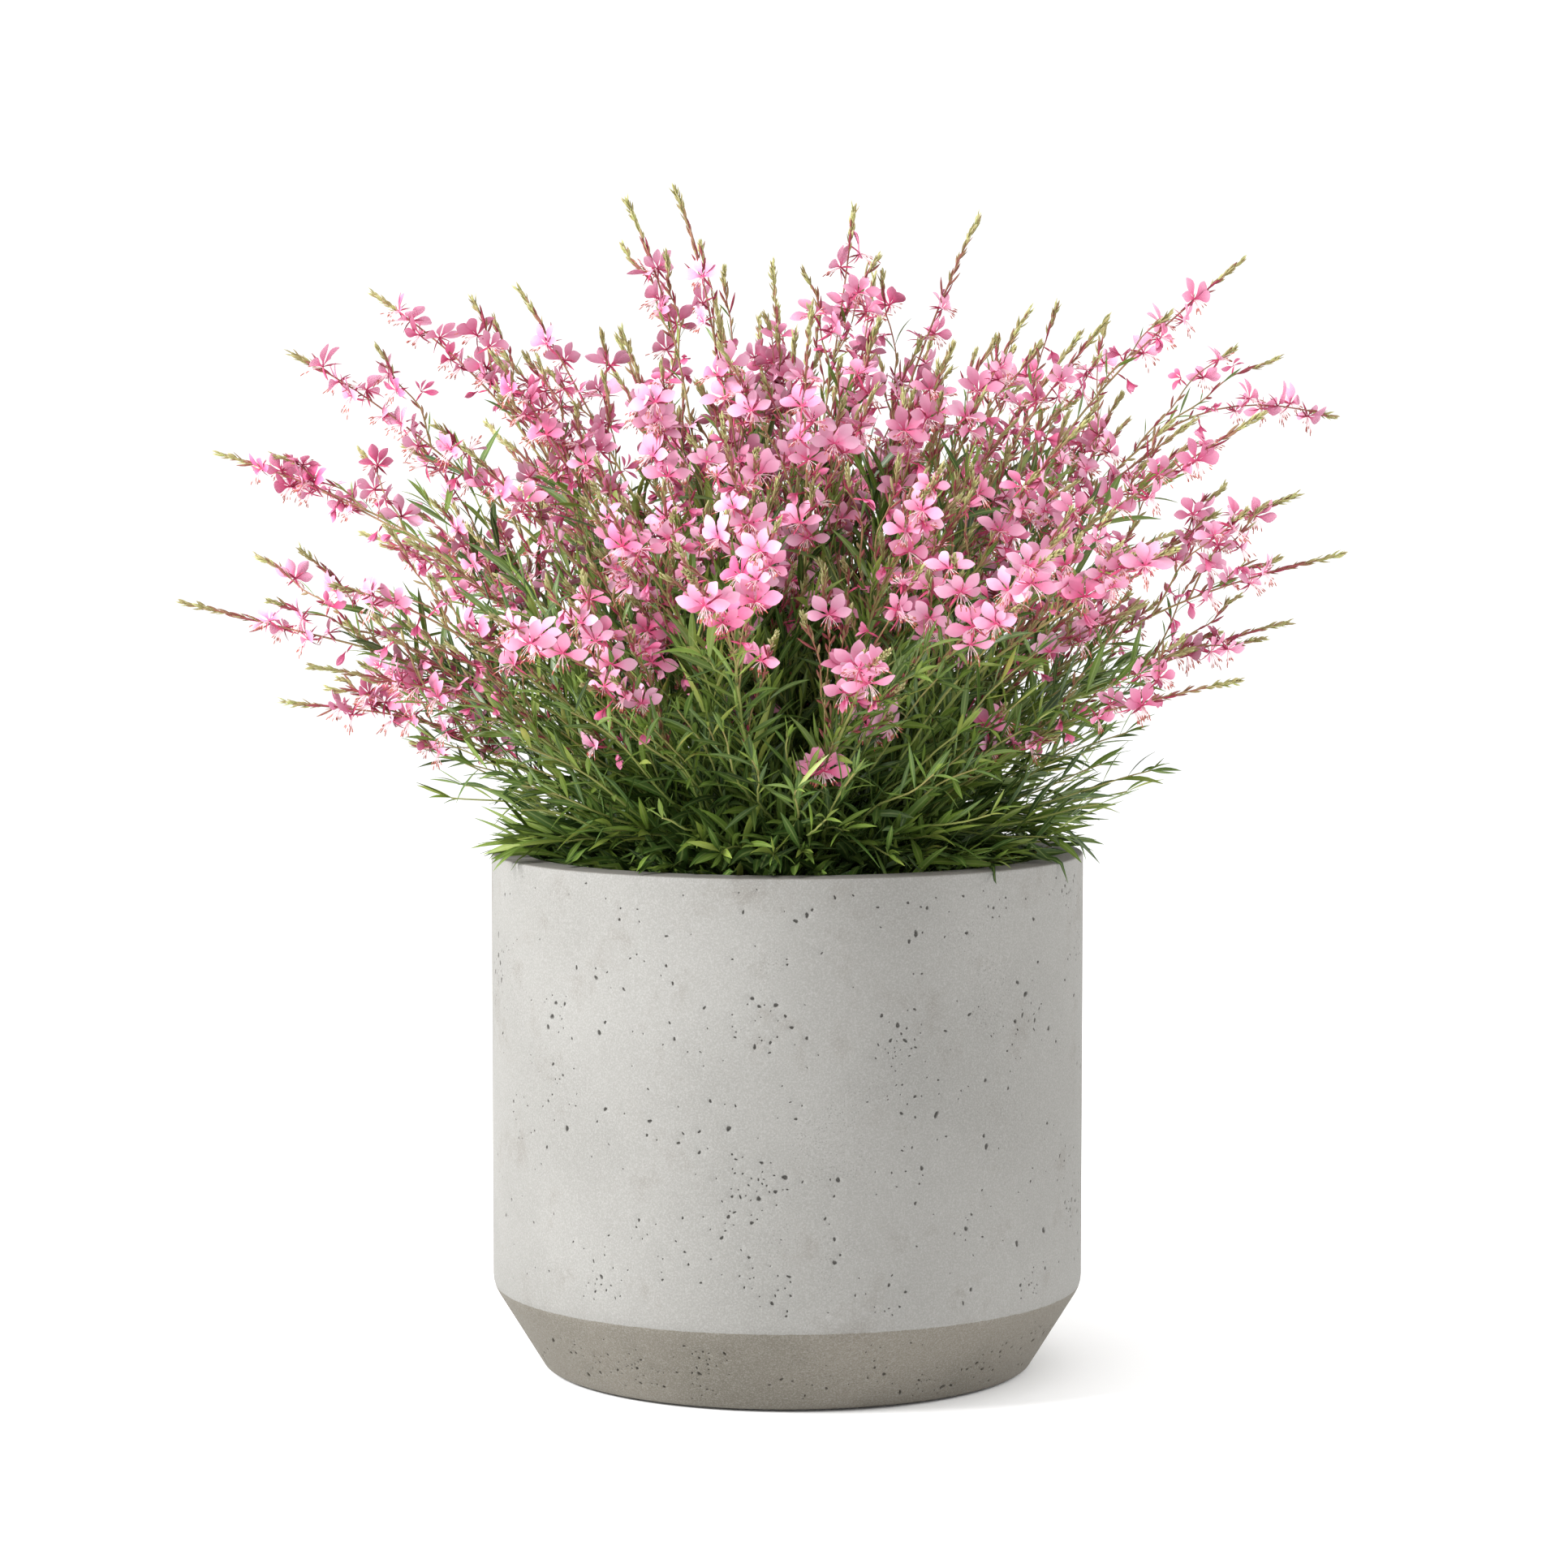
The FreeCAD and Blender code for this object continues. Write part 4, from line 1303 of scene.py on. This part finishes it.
def potting_mix():
    """The mix: a roughened top strewn with bark and crumbs, and a pocket for the root ball."""
    rng = np.random.default_rng(7)
    low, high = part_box("substrate")
    top = [(r, SOIL_TOP + 1.6 * MM) for r in np.arange(161, 63, -2.5) * MM]
    outline = [(0, low.z), (146.2 * MM, low.z), (high.x - 0.3 * MM, SOIL_TOP)] + top
    outline += [
        (62 * MM, SOIL_TOP + 0.3 * MM), (105.5 * MM, SOIL_TOP + 0.2 * MM),
        (84.5 * MM, POCKET_FLOOR), (0, POCKET_FLOOR),
    ]
    batch = Batch()
    lathe(batch, np.array(outline), 200, uneven(rng, 60 * MM, 162 * MM, 1.5 * MM, 17 * MM), 0.35)
    count = 1100
    radius = np.sqrt(rng.uniform(0.058 ** 2, 0.158 ** 2, count))
    angle = rng.uniform(0, math.tau, count)
    chip = rng.random(count) < 0.35
    chips = rng.uniform((3, 1.6, 0.6), (7.5, 3.6, 1.5), (count, 3))
    crumbs = rng.uniform(0.8, 2.3, (count, 3))
    sizes = np.where(chip[:, None], chips, crumbs)
    level = SOIL_TOP + rng.uniform(2.2, 4.2, count) * MM
    centres = np.stack([radius * np.cos(angle), radius * np.sin(angle), level], -1)
    tones = np.where(chip, rng.uniform(0.5, 1.0, count), rng.uniform(0.1, 0.6, count))
    lumps(batch, rng, centres, sizes * MM, 0.28, tones)
    place(batch.build("potting_mix", earth(), 40), "insert", "potting_mix", "substrate")


def woody_crown():
    """The low knotty crown: an uneven mound with a collar where each shoot leaves it."""
    rng = np.random.default_rng(8)
    mound = [(0, SOIL_TOP + 0.3 * MM), (61 * MM, SOIL_TOP + 0.3 * MM)]
    for k in range(1, 22):
        share = k / 22
        mound.append((63 * MM * (1 - share), SOIL_TOP + (2 + 7.5 * math.sqrt(share)) * MM))
    mound.append((0, SOIL_TOP + 9.5 * MM))
    batch = Batch()
    lathe(batch, np.array(mound), 120, uneven(rng, 0, 60 * MM, 1.6 * MM, 9 * MM), 0.3)
    collars = Organs(COLLAR_FORM, ROUND_6, 0)
    for kind in KINDS:
        for side in SIDES:
            for foot, tip in shoots(f"{kind}_{side}"):
                heading = unit(tip - foot)
                start = foot - heading * 3 * MM
                length, width = rng.uniform(12, 20) * MM, rng.uniform(3.6, 5.2) * MM
                collars.add(start, heading, UP, length, width, 0.1, 0, 0.4)
    collars.sweep_into(batch)
    place(batch.build("woody_crown", bark(), 50), "insert", "stem", "root_crown")


def clay_pebbles():
    """The drainage layer: fired clay pebbles heaped in four courses."""
    rng = np.random.default_rng(9)
    low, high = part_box("drainage_layer")
    gap, size = 12.5 * MM, 6.0 * MM
    courses = 4
    centres = []
    for course in range(courses):
        z = low.z + size + (high.z - low.z - 2 * size) * course / (courses - 1)
        limit = 144 * MM - size * 1.25
        for row in range(-12, 13):
            for column in range(-12, 13):
                x = (column + 0.5 * (row % 2) + 0.33 * course) * gap
                y = (row * 0.87 + 0.29 * course) * gap
                if math.hypot(x, y) < limit:
                    centres.append((x, y, z))
    centres = np.array(centres)
    centres[:, :2] += rng.normal(0, 0.6 * MM, (len(centres), 2))
    sizes = size * rng.uniform(0.78, 0.98, (len(centres), 3))
    batch = Batch()
    lumps(batch, rng, centres, sizes, 0.10, rng.uniform(0.15, 0.85, len(centres)))
    place(batch.build("clay_pebbles", fired_clay(), 80), "insert", "clay_pebbles", "drainage_layer")


def refinish(node, material):
    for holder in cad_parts[node].material_slots:
        holder.material = material


# ----------------------------------------------------------------------------- make it all
planter_casting()
potting_mix()
woody_crown()
clay_pebbles()
refinish("grow_pot", black_plastic())
refinish("foot_pads", rubber("pad_rubber", (0.018, 0.018, 0.018), (0.045, 0.043, 0.040)))
refinish("drain_plug", rubber("plug_rubber", (0.030, 0.030, 0.031), (0.070, 0.067, 0.062)))
refinish("filter_fleece", felt())
refinish("root_ball", roots())

skins = {
    "stem": stem_skin(), "leaf": leaf_skin(), "petal": petal_skin(),
    "bud": bud_skin(), "thread": thread_skin(),
}
for kind, side in itertools.product(KINDS, SIDES):
    growth = grow(kind, side)
    parts = [("stems", "stem", "stem", [])]
    parts.append(("leaves", "leaf", "leaf", [growth.leaves]))
    if kind != "leafy_shoots":
        parts.append(("petals", "petal", "petal", [growth.petals]))
        parts.append(("buds", "bud", "bud", [growth.buds, growth.bracts, growth.sepals]))
        parts.append(("stamens", "petal", "thread", [growth.threads]))
    for name, slot, skin, sources in parts:
        batch = growth.stems if name == "stems" else Batch()
        for organs in sources:
            organs.sweep_into(batch, keep_clear)
        piece = batch.build(f"{name}_{kind}_{side}", skins[skin])
        place(piece, "insert", slot, f"{kind}_{side}")

# ------------------------------------------------------------------------ camera and studio


def studio():
    floor = Batch()
    floor.add([(-9, -9, 0), (9, -9, 0), (9, 9, 0), (-9, 9, 0)], [np.array([[0, 1, 2, 3]])])
    p = Paint("studio_floor", roughness=0.9, Specular_IOR_Level=0.1)
    shade = p.step(p.noise(3, 2), 0.4, 0.6)
    p.set("Base Color", p.mix(shade, (0.955, 0.955, 0.955), (0.965, 0.965, 0.965)))
    floor.build("studio_floor", p.material)

    world = bpy.data.worlds.new("studio_world")
    world.use_nodes = True
    world.node_tree.nodes["Background"].inputs["Color"].default_value = (1, 1, 1, 1)
    world.node_tree.nodes["Background"].inputs["Strength"].default_value = 1.12
    bpy.context.scene.world = world

    lamps = [
        ("key_light", (-2.85, -1.25, 2.0), 1.3, 190, (0.985, 0.99, 1.0)),
        ("rim_light", (2.7, 0.35, 1.4), 1.2, 34, (1.0, 1.0, 1.0)),
    ]
    for name, spot, size, power, colour in lamps:
        lamp = bpy.data.lights.new(name, "AREA")
        lamp.shape = "DISK"
        lamp.size = size
        lamp.energy = power
        lamp.color = colour
        holder = bpy.data.objects.new(name, lamp)
        bpy.context.scene.collection.objects.link(holder)
        holder.location = spot
        aim = Vector((0, 0, 0.38)) - Vector(spot)
        holder.rotation_euler = aim.to_track_quat("-Z", "Y").to_euler()

    lens = bpy.data.cameras.new("camera")
    lens.lens = 102.75
    lens.sensor_width = 36
    camera = bpy.data.objects.new("camera", lens)
    bpy.context.scene.collection.objects.link(camera)
    camera.location = (-0.0022, -3.0198, 0.6228)
    camera.rotation_euler = (math.radians(90 - 4.311), 0, 0)
    bpy.context.scene.camera = camera
    bpy.context.scene.view_settings.view_transform = "Standard"


studio()
